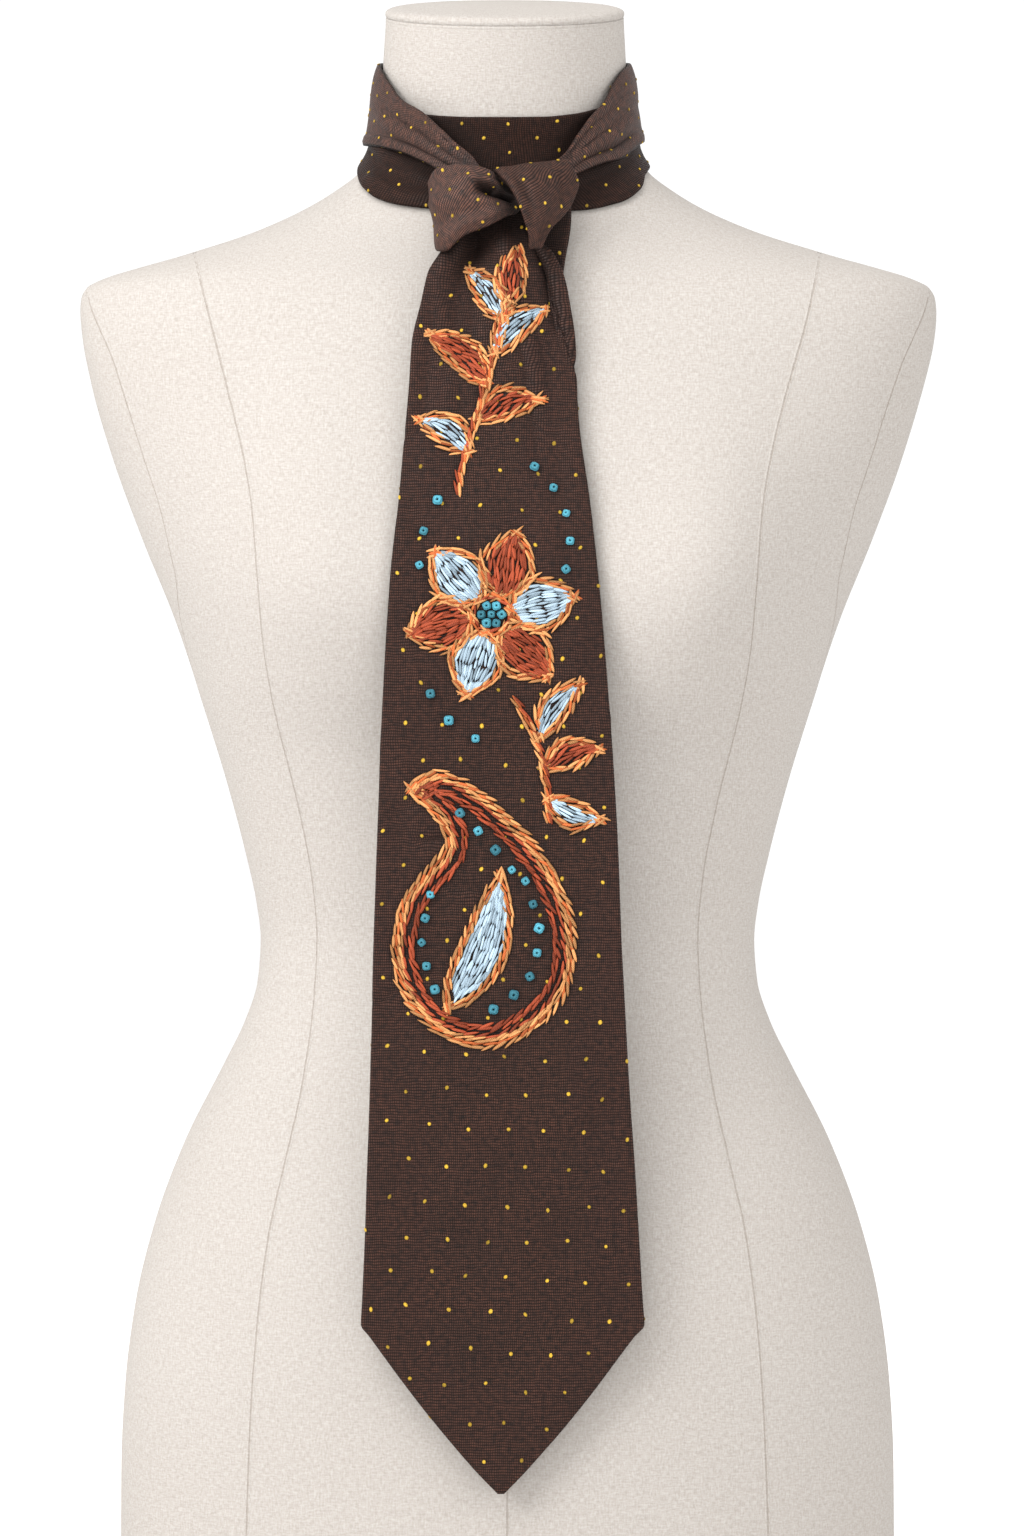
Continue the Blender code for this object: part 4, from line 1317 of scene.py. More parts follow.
def dots_tree():
    """Pin dots in staggered rows over a cloth, each found by its place on the flat cloth."""
    sizes = ("Across", "Along", "Start across", "Start along", "Slope", "Stray", "Width", "Height")
    tree, given = new_tree("Pin dots on cloth", sizes, ("Count across", "Count along"))
    count = given["Count along"]
    index = add(tree, "GeometryNodeInputIndex")
    column = add(tree, "FunctionNodeIntegerMath", {0: index, 1: count}, operation="DIVIDE_FLOOR")
    row = add(tree, "FunctionNodeIntegerMath", {0: index, 1: count}, operation="MODULO")
    odd = add(tree, "FunctionNodeIntegerMath", {0: row, 1: 2}, operation="MODULO")
    half = add(tree, "ShaderNodeMath", {0: odd, 1: 0.5, 2: column}, operation="MULTIPLY_ADD")
    across = {0: half, 1: given["Across"], 2: given["Start across"]}
    u = add(tree, "ShaderNodeMath", across, operation="MULTIPLY_ADD")
    along = {0: row, 1: given["Along"], 2: given["Start along"]}
    v = add(tree, "ShaderNodeMath", along, operation="MULTIPLY_ADD")
    lower = add(tree, "ShaderNodeMath", {0: u, 1: given["Slope"], 2: v}, operation="MULTIPLY_ADD")
    place = add(tree, "ShaderNodeCombineXYZ", {"X": u, "Y": lower})
    stray = {
        0: chance(tree, given, 0, (-1, -1, 0), (1, 1, 0), "FLOAT_VECTOR"),
        "Scale": given["Stray"],
    }
    strayed = add(tree, "ShaderNodeVectorMath", stray, operation="SCALE")
    wanted = add(tree, "ShaderNodeVectorMath", {0: place, 1: strayed}, operation="ADD")
    flat = add(
        tree,
        "GeometryNodeInputNamedAttribute",
        {"Name": "Cloth"},
        data_type="FLOAT_VECTOR",
    )
    where, facing = (
        add(
            tree,
            "GeometryNodeSampleUVSurface",
            {"Mesh": given["Geometry"], "Value": add(tree, kind), "UV Map": flat, "Sample UV": wanted},
            data_type="FLOAT_VECTOR",
        )
        for kind in ("GeometryNodeInputPosition", "GeometryNodeInputNormal")
    )
    lattice = {"Size X": 1.0, "Size Y": 1.0, "Vertices X": given["Count across"], "Vertices Y": count}
    points = add(tree, "GeometryNodeMeshGrid", lattice)
    # Each point keeps what it found on the cloth before it moves there.
    found = where.outputs["Is Valid"]
    for name, value, kind in (("lift", facing, "FLOAT_VECTOR"), ("found", found, "BOOLEAN")):
        points = add(
            tree,
            "GeometryNodeStoreNamedAttribute",
            {"Geometry": points, "Name": name, "Value": value},
            data_type=kind,
            domain="POINT",
        )
    goal = {"Geometry": points, "Position": where.outputs["Value"]}
    moved = add(tree, "GeometryNodeSetPosition", goal)
    on_cloth = add(
        tree,
        "GeometryNodeInputNamedAttribute",
        {"Name": "found"},
        data_type="BOOLEAN",
    )
    off_cloth = add(tree, "FunctionNodeBooleanMath", {0: on_cloth}, operation="NOT")
    gone = {"Geometry": moved, "Selection": off_cloth}
    kept = add(tree, "GeometryNodeDeleteGeometry", gone, domain="POINT")
    upright = add(tree, "FunctionNodeAlignRotationToVector", {"Vector": upward(tree)}, axis="Z")
    laid = spun(tree, upright, chance(tree, given, 3, -0.9, 0.9))
    width = given["Width"]
    size = add(tree, "ShaderNodeCombineXYZ", {"X": width, "Y": width, "Z": given["Height"]})
    uneven = chance(tree, given, 1, (0.78, 0.92, 0.8), (1.0, 1.28, 1.2), "FLOAT_VECTOR")
    scale = add(tree, "ShaderNodeVectorMath", {0: size, 1: uneven}, operation="MULTIPLY")
    return repeat_shape(tree, given, kept, laid, scale, chance(tree, given, 2, 0.0, 1.0))


def curve_through(points, closed=False, step=PATH_STEP):
    """A smooth line through points, with places a set step apart."""
    points = np.asarray(points, float)
    if closed:
        padded = np.concatenate((points[-1:], points, points[:2]))
    else:
        before, after = 2 * points[:1] - points[1:2], 2 * points[-1:] - points[-2:-1]
        padded = np.concatenate((before, points, after))
    fine = []
    for p0, p1, p2, p3 in zip(padded, padded[1:], padded[2:], padded[3:]):
        pull, bend = 2 * p0 - 5 * p1 + 4 * p2 - p3, 3 * p1 - p0 - 3 * p2 + p3
        for t in np.linspace(0, 1, CURVE_STEPS, endpoint=False):
            fine.append(0.5 * (2 * p1 + (p2 - p0) * t + pull * t * t + bend * t**3))
    fine = np.array(fine + [fine[0] if closed else points[-1]])
    run = lengths(fine)
    at = np.linspace(0, run[-1], max(2, math.ceil(run[-1] / step)))
    return np.stack([np.interp(at, run, fine[:, k]) for k in range(2)], axis=-1)


def beside(path, off):
    """A line beside another on the flat cloth, this far to its left."""
    ahead = np.gradient(path, axis=0)
    ahead /= np.linalg.norm(ahead, axis=1, keepdims=True)
    return path + np.stack((-ahead[:, 1], ahead[:, 0]), axis=-1) * off


def leaf_row(leaf, share, start=0.0, stop=1.0):
    """A line down a leaf, from base to tip, at a share of its half width to one side."""
    base, tip = np.array((leaf.x1, leaf.z1)), np.array((leaf.x2, leaf.z2))
    run = tip - base
    length = math.hypot(*run)
    left = np.array((-run[1], run[0])) / length
    t = np.linspace(start, stop, max(4, math.ceil(length / PATH_STEP)))
    bow = leaf.bow * np.sin(np.pi * t)
    half = leaf.width / 2 * np.sin(np.pi * np.clip(t, 0, 1) ** 0.85) ** 0.8
    return base + run * t[:, None] + left * (bow + share * half)[:, None]


def petals():
    """The flower's petals, as leaves of two colours in turn."""
    middle = np.array(FLOWER_MIDDLE)
    made = []
    for number in range(PETALS):
        turn = math.radians(PETAL_FIRST_TURN + number * 360 / PETALS)
        way = np.array((math.cos(turn), math.sin(turn)))
        base, tip = middle + way * PETAL_FROM, middle + way * PETAL_TO
        fill = ("blue", "rust")[number % 2]
        made.append(Leaf(*base, *tip, PETAL_WIDTH, 0.0, fill))
    return made


def round_the_eye(radius, count):
    """Places on a circle round the flower's middle."""
    turns = np.linspace(0, 2 * np.pi, count, endpoint=False)
    return FLOWER_MIDDLE + radius * np.stack((np.cos(turns), np.sin(turns)), axis=-1)


def lay_strands(lines, path, strands, sign=1):
    """Adds strands side by side along a path, to the lines of their threads."""
    for strand in strands:
        lines[strand.thread].append(beside(path, sign * strand.side))


def needlework():
    """Every stitched line on the flat blade, by thread, and the places of the French knots."""
    lines = {"tan": [], "orange": [], "rust": [], "blue": []}
    edges = []
    for leaf in (*SPRIG_LEAVES, *BUD_LEAVES, *petals(), PAISLEY_HEART):
        half = leaf.width / 2 - ROW_SPACING
        rows = max(2, int(half / ROW_SPACING))
        for number in range(-rows + 1, rows):
            share = number / rows * FILL_REACH
            short = FILL_START + FILL_START_MORE * abs(share)
            lines[leaf.fill].append(leaf_row(leaf, share, short, 1 - short * FILL_STOP))
        for sign in (1, -1):
            side = leaf_row(leaf, float(sign))
            edges.append(side)
            lay_strands(lines, side, LEAF_STRANDS, sign)
    paisley = curve_through(PAISLEY, closed=True)
    for path, strands, sign in (
        (curve_through(SPRIG_STEM), STEM_STRANDS, 1),
        (curve_through(BUD_STEM), STEM_STRANDS, 1),
        (curve_through(round_the_eye(EYE_RADIUS, EYE_POINTS), closed=True), EYE_STRANDS, 1),
        (paisley, PAISLEY_STRANDS, -1),
    ):
        edges.append(path)
        lay_strands(lines, path, strands, sign)
    knots = [curve_through(run, step=KNOT_SPACING) for run in KNOT_RUNS]
    knots += [round_the_eye(EYE_KNOTS_RADIUS, EYE_KNOTS), [FLOWER_MIDDLE]]
    return lines, np.concatenate(knots), edges


def puckers(edges):
    """Small creases that the needlework draws into the blade, square to its outlines."""
    draw = np.random.default_rng(PUCKER_SEED)
    points = np.concatenate([edge[1:-1] for edge in edges])
    ways = np.concatenate([np.gradient(edge, axis=0)[1:-1] for edge in edges])
    made = []
    for k in draw.integers(0, len(points), PUCKERS):
        ahead = ways[k] / np.linalg.norm(ways[k])
        left = np.array((-ahead[1], ahead[0])) * draw.choice((-1, 1))
        lean = ahead * draw.uniform(-PUCKER_LEAN, PUCKER_LEAN)
        start = points[k] + left * draw.uniform(*PUCKER_START)
        end = start + (left + lean) * draw.uniform(*PUCKER_LENGTH)
        near = draw.uniform(*PUCKER_WIDTH)
        far = near * draw.uniform(*PUCKER_SPREAD)
        made.append(Crease(*start, *end, near, far, draw.uniform(*PUCKER_RISE)))
    return made


def blade_relief(x, z, edges, small_creases):
    """How far the blade's creases, its waves and the needlework's pull lift its front."""
    total = relief(x, z, BLADE_CREASES) + relief(x, z, small_creases) + waves(x, z)
    points = np.concatenate(edges)
    low, high = points[:, 1].min() - PULL_EDGE, points[:, 1].max() + PULL_EDGE
    flat_x, flat_z = (np.broadcast_to(place, total.shape).ravel() for place in (x, z))
    pull = np.zeros(flat_x.shape)
    near = np.nonzero((flat_z > low) & (flat_z < high))[0]
    for part in np.array_split(near, max(1, len(near) // PULL_BATCH)):
        off_x, off_z = flat_x[part, None] - points[:, 0], flat_z[part, None] - points[:, 1]
        gap = np.hypot(off_x, off_z).min(axis=1)
        pull[part] = np.exp(-((gap / PULL_REACH) ** 2))
    return total - PULL_DEPTH * pull.reshape(total.shape)


def rolls(side, heights):
    """How far the soft rolls under the knot lift the blade. Side is a share of its half width."""
    lifted = sum(r.rise * np.exp(-(((side - r.place) / r.reach) ** 2)) for r in BLADE_ROLLS)
    start = np.clip((ROLLS_FROM - heights) / (ROLLS_FROM - ROLLS_FULL), 0, 1)
    fade = np.clip((heights - ROLLS_TO) / (ROLLS_FULL - ROLLS_TO), 0, 1) ** ROLLS_FADE_POWER
    return lifted * start * fade


class BladeFace:
    """The blade's shape, shared by the blade and by what is sewn on it."""

    def __init__(self):
        self.lines, self.knots, self.edges = needlework()
        self.small = puckers(self.edges)

    def back(self, x, z):
        """How far forward the blade's back is."""
        left, right = smooth(BLADE, "left", z), smooth(BLADE, "right", z)
        side = 2 * (x - left) / (right - left) - 1
        full = np.clip((right - left) / CROWN_WIDTH - CROWN_LESS, 0, 1)
        lift = blade_relief(x, z, self.edges, self.small) + BLADE_CROWN * (1 - side**2) * full
        quiet = np.clip((CREASES_FROM - z) / CREASES_GROW, 0, 1)
        return smooth(BLADE, "back", z) - rolls(side, z) - lift * quiet

    def front(self, x, z):
        """Points on the blade's front, and the normals there."""
        small = 0.4  # a millimetre's part, to each side
        y = self.back(x, z) - BLADE_CLOTH
        slope_x = (self.back(x + small, z) - self.back(x - small, z)) / (2 * small)
        slope_z = (self.back(x, z + small) - self.back(x, z - small)) / (2 * small)
        normal = np.stack((slope_x, -np.ones_like(slope_x), slope_z), axis=-1)
        normal /= np.linalg.norm(normal, axis=-1, keepdims=True)
        return np.stack((x, y, z), axis=-1), normal


FACE = BladeFace()


def fall_heights(rows, step):
    """Heights down a hanging piece: its table's rows, with more between rows far apart."""
    heights = [row.height for row in rows]
    steps = [math.ceil((a - b) / step) for a, b in zip(heights, heights[1:])]
    spans = zip(heights, heights[1:], steps)
    return np.concatenate([np.linspace(a, b, n, endpoint=False) for a, b, n in spans] + [[heights[-1]]])


def hanging_grid(rows, heights, places):
    """Where the points of a hanging piece are, across and up."""
    left, right = smooth(rows, "left", heights)[:, None], smooth(rows, "right", heights)[:, None]
    x = left + (right - left) * places
    return x, heights[:, None] + 0 * places


def seam(name, points, outward, material, closed=False):
    """A sewn seam along a line: two soft lips with a groove between, sunk a little in the cover."""
    points = np.asarray(points)
    padded = np.concatenate((points[-2:], points, points[:2])) if closed else points
    ahead = np.gradient(padded, axis=0)
    side = np.cross(outward, ahead[2:-2] if closed else ahead)
    side /= np.linalg.norm(side, axis=-1, keepdims=True)
    off, rise = (np.array(column)[None, :, None] for column in zip(*SEAM_SECTION))
    rings = points[:, None] + side[:, None] * off + outward[:, None] * rise
    rows, count = rings.shape[:2]
    along = lengths(np.concatenate((points, points[:1])) if closed else points)
    places = np.array([edge.side for edge in (*SEAM_SECTION, SEAM_SECTION[0])])
    faces, flat = ring_faces(rows, np.broadcast_to(places, (rows, count + 1)), along, closed)
    if not closed:
        for row in (0, rows - 1):
            faces.append([row * count + k for k in range(count)])
            flat += [(places[k], along[row]) for k in range(count)]
    return new_piece(name, rings.reshape(-1, 3), faces, flat, material)


class NECKTIE_OT_dress_form(bpy.types.Operator):
    """Builds the dress form's cover, its neck cap and their seams"""

    bl_idname = "necktie.dress_form"
    bl_label = "Dress form"

    def execute(self, context):
        cloth = form_cloth("linen_cotton_cover")
        turns = np.linspace(-180, 180, FORM_POINTS, endpoint=False)
        levels = levels_from(FORM_OUTLINE, FORM_SPACING, NECK_SEAM)
        rings = np.array([form_ring(level, turns) for level in levels])
        self.shell("form_body_cover", rings, cloth, "form_body")
        top = rings[-1]
        centre = top.mean(axis=0)
        tilt = math.radians(NECK_TILT)
        up = np.array((0.0, -math.sin(tilt), math.cos(tilt)))
        outward = top - centre
        cap = [centre + outward * (1 - r.inset / NECK_RADIUS) + up * r.rise for r in CAP_RINGS]
        self.shell("form_neck_cap_cover", np.array(cap), cloth, "form_neck_cap")
        outward /= np.linalg.norm(outward, axis=-1, keepdims=True)
        seam("form_cap_seam", top - up * CAP_SEAM_DROP, outward, cloth, closed=True)
        sewn = form_cloth("linen_cotton_seam", sewn=True)
        for label, (turn, height) in self.seam_lines().items():
            seam(f"form_seam_{label}", form_surface(turn, height), form_normal(turn, height), sewn)
        return {"FINISHED"}

    def shell(self, name, rings, cloth, node):
        """A closed shell through rings, with a fan at each end."""
        rows, count = rings.shape[:2]
        round_run = np.concatenate((rings, rings[:, :1]), axis=1)
        steps = np.linalg.norm(np.diff(round_run, axis=1), axis=-1)
        over = np.concatenate((np.zeros((rows, 1)), np.cumsum(steps, axis=1)), axis=1)
        over -= over[:, count // 2 : count // 2 + 1]
        # One run up the cover for a whole ring, so that its threads cross squarely on the neck too.
        faces, flat = ring_faces(rows, over, lengths(rings).mean(axis=1))
        points = with_poles(rings)
        for three in pole_fans(rows, count):
            faces.append(three)
            flat += [tuple(points[n][:2] + END_CLOTH) for n in three]
        piece = new_piece(name, points, faces, flat, cloth)
        piece.data.set_sharp_from_angle(angle=math.radians(SHARP_ANGLE))
        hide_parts(node)

    def seam_lines(self):
        """The body's seams, each as its places' turns and heights."""
        heights = np.arange(SEAM_BOTTOM, PRINCESS_SEAM[-1].height, SEAM_STEP)
        off_centre = smooth(PRINCESS_SEAM, "off_centre", heights)
        power = smooth(FORM_PROFILE, "squareness", heights) / 2
        half = smooth(FORM_OUTLINE, "half_width", heights)
        side = np.degrees(np.arcsin(np.clip(off_centre / half, -1, 1) ** power))
        arm = np.arange(SEAM_BOTTOM, ARMHOLE_SEAM[-1].height, SEAM_STEP)
        arm_turn = smooth(ARMHOLE_SEAM, "turn", arm)
        # Below the armhole one side seam serves the front and the back.
        open_arm = arm >= ARMHOLE_SEAM[1].height - SEAM_STEP
        shoulder = np.linspace(SHOULDER_BOTTOM, SHOULDER_TOP, SHOULDER_POINTS)
        lines = {}
        for label, turn, top in (
            ("centre_front", 0.0, CENTRE_FRONT_TOP),
            ("centre_back", 180.0, CENTRE_BACK_TOP),
        ):
            count = math.ceil((top - SEAM_BOTTOM) / SEAM_STEP)
            lines[label] = (np.full(count, turn), np.linspace(SEAM_BOTTOM, top, count))
        for label, sign in (("left", -1), ("right", 1)):
            lines[f"princess_{label}"] = (sign * side, heights)
            lines[f"princess_back_{label}"] = (sign * (180 - side), heights)
            lines[f"side_{label}"] = (sign * arm_turn, arm)
            lines[f"armhole_back_{label}"] = (sign * (180 - arm_turn[open_arm]), arm[open_arm])
            lines[f"shoulder_{label}"] = (np.full(SHOULDER_POINTS, sign * 90.0), shoulder)
        return lines


class NECKTIE_OT_neck_turns(bpy.types.Operator):
    """Winds the tie's narrow middle twice round the neck"""

    bl_idname = "necktie.neck_turns"
    bl_label = "Turns round the neck"

    def execute(self, context):
        places, thickness = band_places(NECK_BAND_WIDTH, NECK_CLOTH, NECK_BAND_COLUMNS)
        turns = np.linspace(-180, 180, NECK_BAND_SECTIONS, endpoint=False)
        inner = self.band(turns, places, INNER_TURN, GAP, INNER_CREASES)
        turns = np.linspace(OUTER_RIGHT_END, 360 + OUTER_LEFT_END, NECK_BAND_SECTIONS)
        outer = self.band(turns, places, OUTER_TURN, GAP + NECK_CLOTH + GAP, OUTER_CREASES)
        outer_nodes = ("outer_turn_left", "outer_turn_back", "outer_turn_right")
        for name, grid, closed, nodes, under in (
            ("inner_turn", inner, True, ("inner_turn_front", "inner_turn_back"), "form_body"),
            ("outer_turn", outer, False, outer_nodes, "inner_turn"),
        ):
            piece, run = cloth_tube(name, grid, thickness, False, tie_cloth(name), closed)
            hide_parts(*nodes)
        return {"FINISHED"}

    def band(self, turns, places, rows, under, creases):
        """The inside of a turn round the neck, as a grid of points."""
        wrapped = (turns + 180) % 360 - 180
        bottom = smooth(rows, "bottom", wrapped)[:, None]
        top = smooth(rows, "top", wrapped)[:, None]
        gap = under + smooth(rows, "lift", wrapped)[:, None]
        gap = gap - smooth(rows, "lean", wrapped)[:, None] * places**LEAN_POWER
        scale = (NECK_RUN, NECK_BAND_WIDTH)
        lifted = relief(turns[:, None], places[None, :], creases, scale)
        signed = relief(wrapped[:, None], places[None, :], creases, scale)
        lifted = np.where(np.abs(signed) > np.abs(lifted), signed, lifted)
        # A turn lies on what is under it, so its creases hardly sink in.
        lifted = np.maximum(lifted, -DEEPEST_DENT * under)
        return on_form(turns[:, None], bottom + (top - bottom) * places, gap + lifted)


class NECKTIE_OT_knot(bpy.types.Operator):
    """Ties the knot: a panel that wraps over from the left, and a flap that comes down over it"""

    bl_idname = "necktie.knot"
    bl_label = "Knot"

    def execute(self, context):
        places, thickness = band_places(KNOT_PANEL_WIDTH, KNOT_CLOTH, KNOT_COLUMNS)
        for name, folds, creases, node in (
            ("knot_wrap_panel", KNOT_WRAP, WRAP_CREASES, "knot_wrap"),
            ("knot_flap_panel", KNOT_FLAP, FLAP_CREASES, "knot_flap"),
        ):
            grid = self.panel(folds, creases, places)
            piece, run = cloth_tube(name, grid, thickness, True, tie_cloth(node))
            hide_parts(node)
        self.core()
        return {"FINISHED"}

    def panel(self, rows, creases, places):
        """The outside of one of the knot's panels, as a grid of points."""
        numbered_fold = namedtuple("numbered_fold", ("number",) + Fold._fields)
        numbered = [numbered_fold(number, *row) for number, row in enumerate(rows)]
        at = np.linspace(0, len(rows) - 1, KNOT_SECTIONS)
        column = {field: smooth(numbered, field, at)[:, None] for field in Fold._fields}
        first, last = (np.stack([column[f"{axis}{end}"] for axis in "xyz"], axis=-1) for end in (1, 2))
        grid = first + (last - first) * places[:, None]
        grid[..., 1] -= column["bulge"] * (1 - np.abs(2 * places - 1) ** SWELL_POWER)
        lift = relief(at[:, None], places[None, :], creases, (KNOT_RUN, KNOT_PANEL_WIDTH))
        return grid + normals(grid) * lift[..., None]

    def core(self):
        """The rounded solid of the layers inside the knot."""
        turns = np.linspace(0, 2 * np.pi, CORE_POINTS, endpoint=False)
        power = 2 / CORE_SQUARENESS
        side = np.sign(np.sin(turns)) * np.abs(np.sin(turns)) ** power
        ahead = np.sign(np.cos(turns)) * np.abs(np.cos(turns)) ** power
        heights = np.linspace(KNOT_CORE[0].height, KNOT_CORE[-1].height, CORE_SECTIONS)[:, None]
        left, right, front, back = (smooth(KNOT_CORE, field, heights) for field in Core._fields[1:])
        x = (left + right) / 2 + side * (right - left) / 2
        y = (front + back) / 2 + ahead * (front - back) / 2
        rings = np.stack((x, y, heights + 0 * x), axis=-1)
        loop = np.concatenate((rings[CORE_SECTIONS // 2], rings[CORE_SECTIONS // 2][:1]))
        run, along = lengths(loop), heights[:, 0] - heights[0, 0]
        over = np.broadcast_to(run, (CORE_SECTIONS, len(run)))
        faces, flat = tube_faces(CORE_SECTIONS, over, along)
        points, cloth = rings.reshape(-1, 3), tie_cloth("core")
        piece = lined(new_piece("knot_core_layers", points, faces, flat, cloth))
        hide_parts("knot_core")


class NECKTIE_OT_blade(bpy.types.Operator):
    """Hangs the wide blade from the knot"""

    bl_idname = "necktie.blade"
    bl_label = "Wide blade"

    def execute(self, context):
        heights = fall_heights(BLADE, BLADE_STEP)
        places, thickness = band_places(BLADE_WIDTH, BLADE_CLOTH, BLADE_COLUMNS)
        x, z = hanging_grid(BLADE, heights, places)
        grid = np.stack((x, FACE.back(x, z), z), axis=-1)
        piece, run = cloth_tube("blade", grid, thickness, False, tie_cloth("blade"))
        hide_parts("blade_front")
        return {"FINISHED"}


class NECKTIE_OT_tail(bpy.types.Operator):
    """Hangs the narrow end behind the blade"""

    bl_idname = "necktie.tail"
    bl_label = "Narrow end"

    def execute(self, context):
        heights = fall_heights(TAIL, TAIL_STEP)
        places, thickness = band_places(TAIL_WIDTH, TAIL_CLOTH, TAIL_COLUMNS)
        x, z = hanging_grid(TAIL, heights, places)
        lift = np.clip(relief(x, z, TAIL_CREASES), -TAIL_RELIEF, TAIL_RELIEF)
        grid = np.stack((x, smooth(TAIL, "back", heights)[:, None] + 0 * x - lift, z), axis=-1)
        piece, run = cloth_tube("tail", grid, thickness, False, tie_cloth("tail"))
        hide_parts("tail_behind")
        return {"FINISHED"}


class NECKTIE_OT_pin_dots(bpy.types.Operator):
    """Scatters the woven pin dots over every stretch of the tie"""

    bl_idname = "necktie.pin_dots"
    bl_label = "Pin dots"

    def execute(self, context):
        settings = context.scene.tie_cloth
        tree, dot = dots_tree(), dot_shape()
        thread = thread_material("gold_pin_dot_thread", settings.dot_colour, 0.45, "X")
        for number, (name, closeness) in enumerate(DOTTED):
            cloth = bpy.data.objects[name]
            across, along = settings.dots_across * closeness, settings.dots_along * closeness
            size = settings.dot_size * (1 + closeness) / 2
            wall = cloth.modifiers["Woven face"]
            wall.show_viewport = wall.show_render = False
            flat = np.zeros(2 * len(cloth.data.loops), np.float32)
            cloth.data.uv_layers["Cloth"].data.foreach_get("uv", flat)
            low, high = flat.reshape(-1, 2).min(axis=0), flat.reshape(-1, 2).max(axis=0)
            start = low + DOTS_START
            values = {
                "Across": across,
                "Along": along,
                "Count across": int((high[0] - low[0]) / across) + 1,
                "Count along": int((high[1] - low[1]) / along) + 2,
                "Start across": float(start[0]),
                "Start along": float(start[1]),
                "Slope": settings.dot_slope,
                "Stray": settings.dot_stray,
                "Width": size,
                "Height": settings.dot_height,
                "Seed": DOT_SEED + number,
                "Shape": dot,
                "Material": thread,
            }
            lay_out(f"pin_dots_{name}", cloth, tree, values)
            wall.show_viewport = wall.show_render = True
        bpy.data.objects.remove(dot)
        return {"FINISHED"}


class NECKTIE_OT_needlework(bpy.types.Operator):
    """Embroiders the blade with leaves, a flower, a paisley drop and French knots"""

    bl_idname = "necktie.needlework"
    bl_label = "Needlework"

    def execute(self, context):
        settings = context.scene.needlework
        tree, stitch = stitches_tree(), stitch_shape()
        for number, (thread, lines) in enumerate(FACE.lines.items()):
            points, facing = FACE.front(*(np.concatenate(lines)[:, k] for k in range(2)))
            starts = np.cumsum([0] + [len(line) for line in lines])
            edges = [(k, k + 1) for a, b in zip(starts, starts[1:]) for k in range(a, b - 1)]
            source = self.source(f"lines_{thread}", points, facing, edges)
            share = FILLING_STITCH if thread == FILLING_THREAD else OUTLINE_STITCH
            cotton = thread_material(f"stranded_cotton_{thread}", getattr(settings, thread), 0.5)
            values = {
                "Pitch": settings.stitch * share.pitch,
                "Length": settings.stitch,
                "Width": settings.width * share.width,
                "Height": settings.height * share.height,
                "Wander": settings.wander * share.wander,
                "Slant": settings.slant * share.slant,
                "Skew": settings.skew * share.skew,
                "Seed": settings.seed + THREAD_SEED_STEP * number,
                "Shape": stitch,
                "Material": cotton,
            }
            lay_out(f"stitches_{thread}", source, tree, values)
            bpy.data.objects.remove(source)
        bpy.data.objects.remove(stitch)
        points, facing = FACE.front(FACE.knots[:, 0], FACE.knots[:, 1])
        source, knot = self.source("knot_places", points, facing, ()), knot_shape()
        values = {
            "Width": settings.knot,
            "Height": settings.knot * KNOT_HEIGHT,
            "Seed": settings.seed,
            "Shape": knot,
            "Material": thread_material("stranded_cotton_teal", settings.teal, 0.45),
        }
        lay_out("french_knots", source, knots_tree(), values)
        bpy.data.objects.remove(source)
        bpy.data.objects.remove(knot)
        return {"FINISHED"}

    def source(self, name, points, facing, edges):
        """Points or lines on the blade's front, each point with the way that it faces."""
        source = hidden_source(name, points * MM, edges=edges)
        lift = source.data.attributes.new("lift", "FLOAT_VECTOR", "POINT")
        lift.data.foreach_set("vector", facing.astype(np.float32).ravel())
        return source


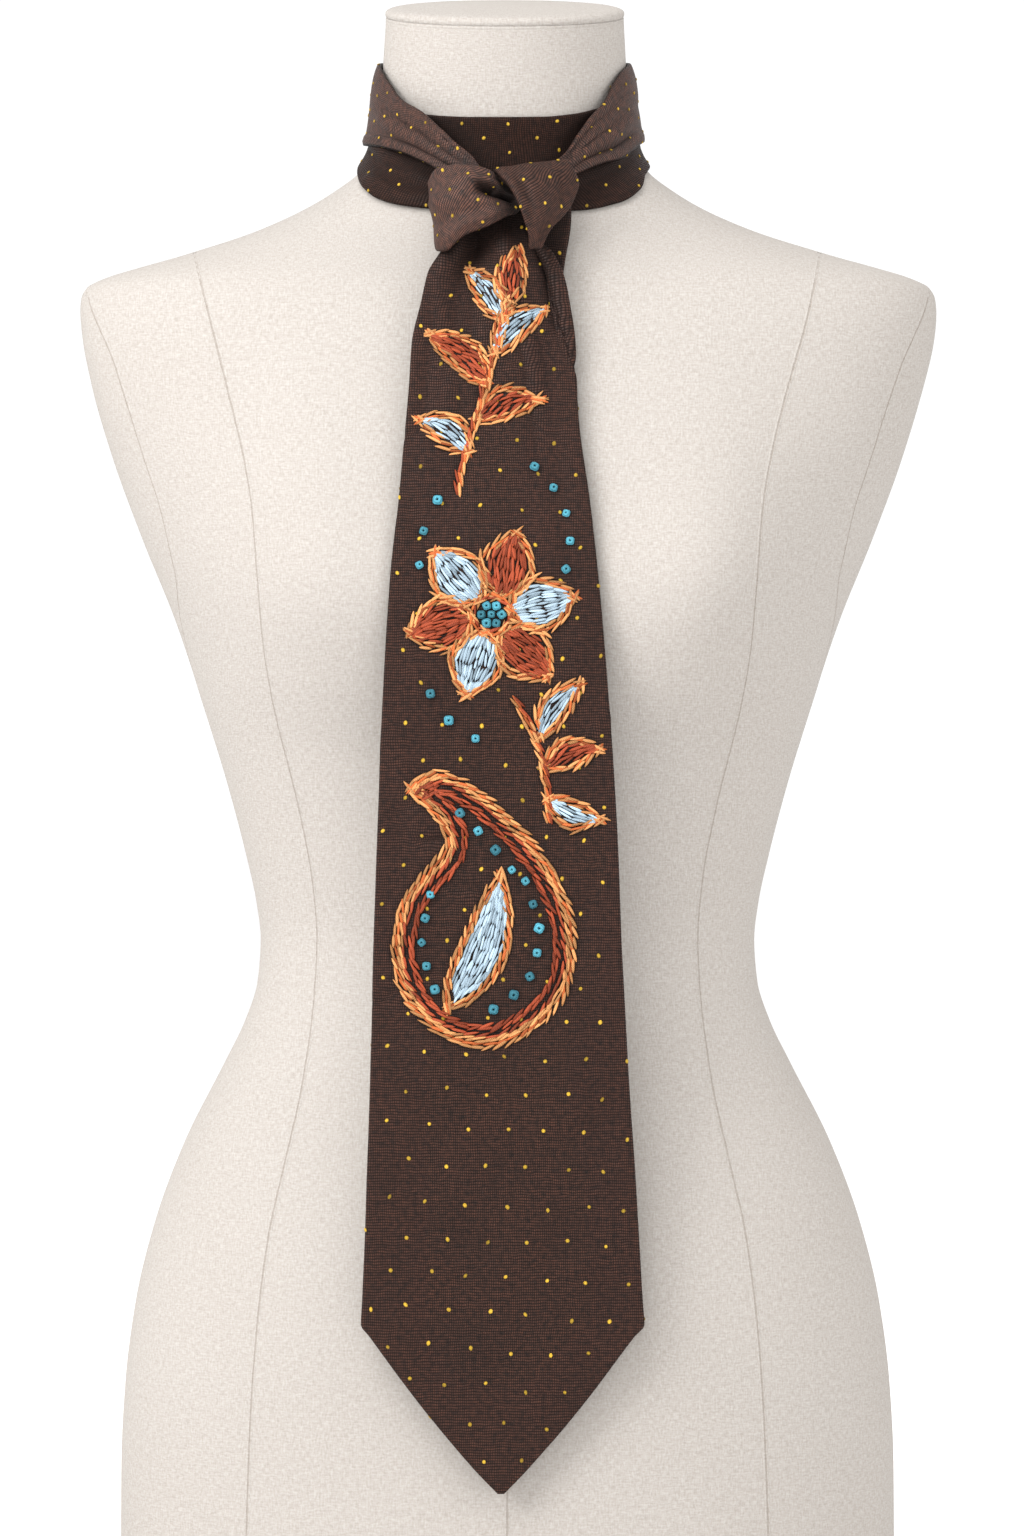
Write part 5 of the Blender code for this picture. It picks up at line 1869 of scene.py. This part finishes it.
class NECKTIE_OT_stage(bpy.types.Operator):
    """Sets the pale floor, the soft lights and the photograph's camera"""

    bl_idname = "necktie.stage"
    bl_label = "Stage"

    def execute(self, context):
        settings, scene = context.scene.stage_set, context.scene
        mesh = bpy.data.meshes.new("floor")
        far = FLOOR_REACH
        corners = [(-far, -far, 0), (far, -far, 0), (far, far, 0), (-far, far, 0)]
        mesh.from_pydata(corners, [], [(0, 1, 2, 3)])
        mesh.materials.append(floor_paint("matt_white_board"))
        floor = bpy.data.objects.new("floor", mesh)
        scene.collection.objects.link(floor)
        world = bpy.data.worlds.new("white_sky")
        world.use_nodes = True
        world.node_tree.nodes["Background"].inputs["Color"].default_value = (1, 1, 1, 1)
        world.node_tree.nodes["Background"].inputs["Strength"].default_value = settings.sky
        scene.world = world
        for lamp in LAMPS:
            self.light(f"soft_{lamp.setting}", lamp.turn, lamp.rise, getattr(settings, lamp.setting))
        data = bpy.data.cameras.new("photo_camera")
        data.sensor_width = CAMERA_SENSOR
        data.lens = CAMERA_SENSOR * -CAMERA_PLACE[1] / CAMERA_VIEW_HEIGHT
        camera = bpy.data.objects.new("photo_camera", data)
        camera.location = CAMERA_PLACE
        camera.rotation_euler = (math.pi / 2, 0, 0)
        scene.collection.objects.link(camera)
        scene.camera = camera
        scene.view_settings.view_transform = "Standard"
        return {"FINISHED"}

    def light(self, name, turn, rise, power):
        """A large soft light at a turn round the form and a rise above its middle, aimed at it."""
        data = bpy.data.lights.new(name, "AREA")
        data.size, data.energy = LAMP_SIZE, power
        lamp = bpy.data.objects.new(name, data)
        turn, rise = math.radians(turn), math.radians(rise)
        flat, height = math.cos(rise) * LAMP_DISTANCE, FORM_MIDDLE + math.sin(rise) * LAMP_DISTANCE
        lamp.location = (math.sin(turn) * flat, -math.cos(turn) * flat, height)
        lamp.rotation_euler = (math.pi / 2 - rise, 0, turn)
        bpy.context.scene.collection.objects.link(lamp)


STEPS = (
    NECKTIE_OT_stage,
    NECKTIE_OT_dress_form,
    NECKTIE_OT_neck_turns,
    NECKTIE_OT_knot,
    NECKTIE_OT_blade,
    NECKTIE_OT_tail,
    NECKTIE_OT_pin_dots,
    NECKTIE_OT_needlework,
)
SETTINGS = (
    ("tie_cloth", TieClothSettings),
    ("dress_form", FormSettings),
    ("needlework", NeedleworkSettings),
    ("stage_set", StageSettings),
)


class NECKTIE_PT_panel(bpy.types.Panel):
    """Lists the pieces and their settings"""

    bl_label = "Necktie"
    bl_idname = "NECKTIE_PT_panel"
    bl_space_type = "VIEW_3D"
    bl_region_type = "UI"
    bl_category = "Necktie"

    def draw(self, context):
        for step in STEPS:
            self.layout.operator(step.bl_idname)
        for name, group in SETTINGS:
            box = self.layout.box()
            for setting in group.__annotations__:
                box.prop(getattr(context.scene, name), setting)


def register():
    for name, group in SETTINGS:
        bpy.utils.register_class(group)
        setattr(bpy.types.Scene, name, PointerProperty(type=group))
    for step in STEPS:
        bpy.utils.register_class(step)
    bpy.utils.register_class(NECKTIE_PT_panel)


def unregister():
    bpy.utils.unregister_class(NECKTIE_PT_panel)
    for step in reversed(STEPS):
        bpy.utils.unregister_class(step)
    for name, group in reversed(SETTINGS):
        delattr(bpy.types.Scene, name)
        bpy.utils.unregister_class(group)


def main():
    register()
    for step in STEPS:
        group, call = step.bl_idname.split(".")
        getattr(getattr(bpy.ops, group), call)()
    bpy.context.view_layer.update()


if __name__ == "__main__":
    main()
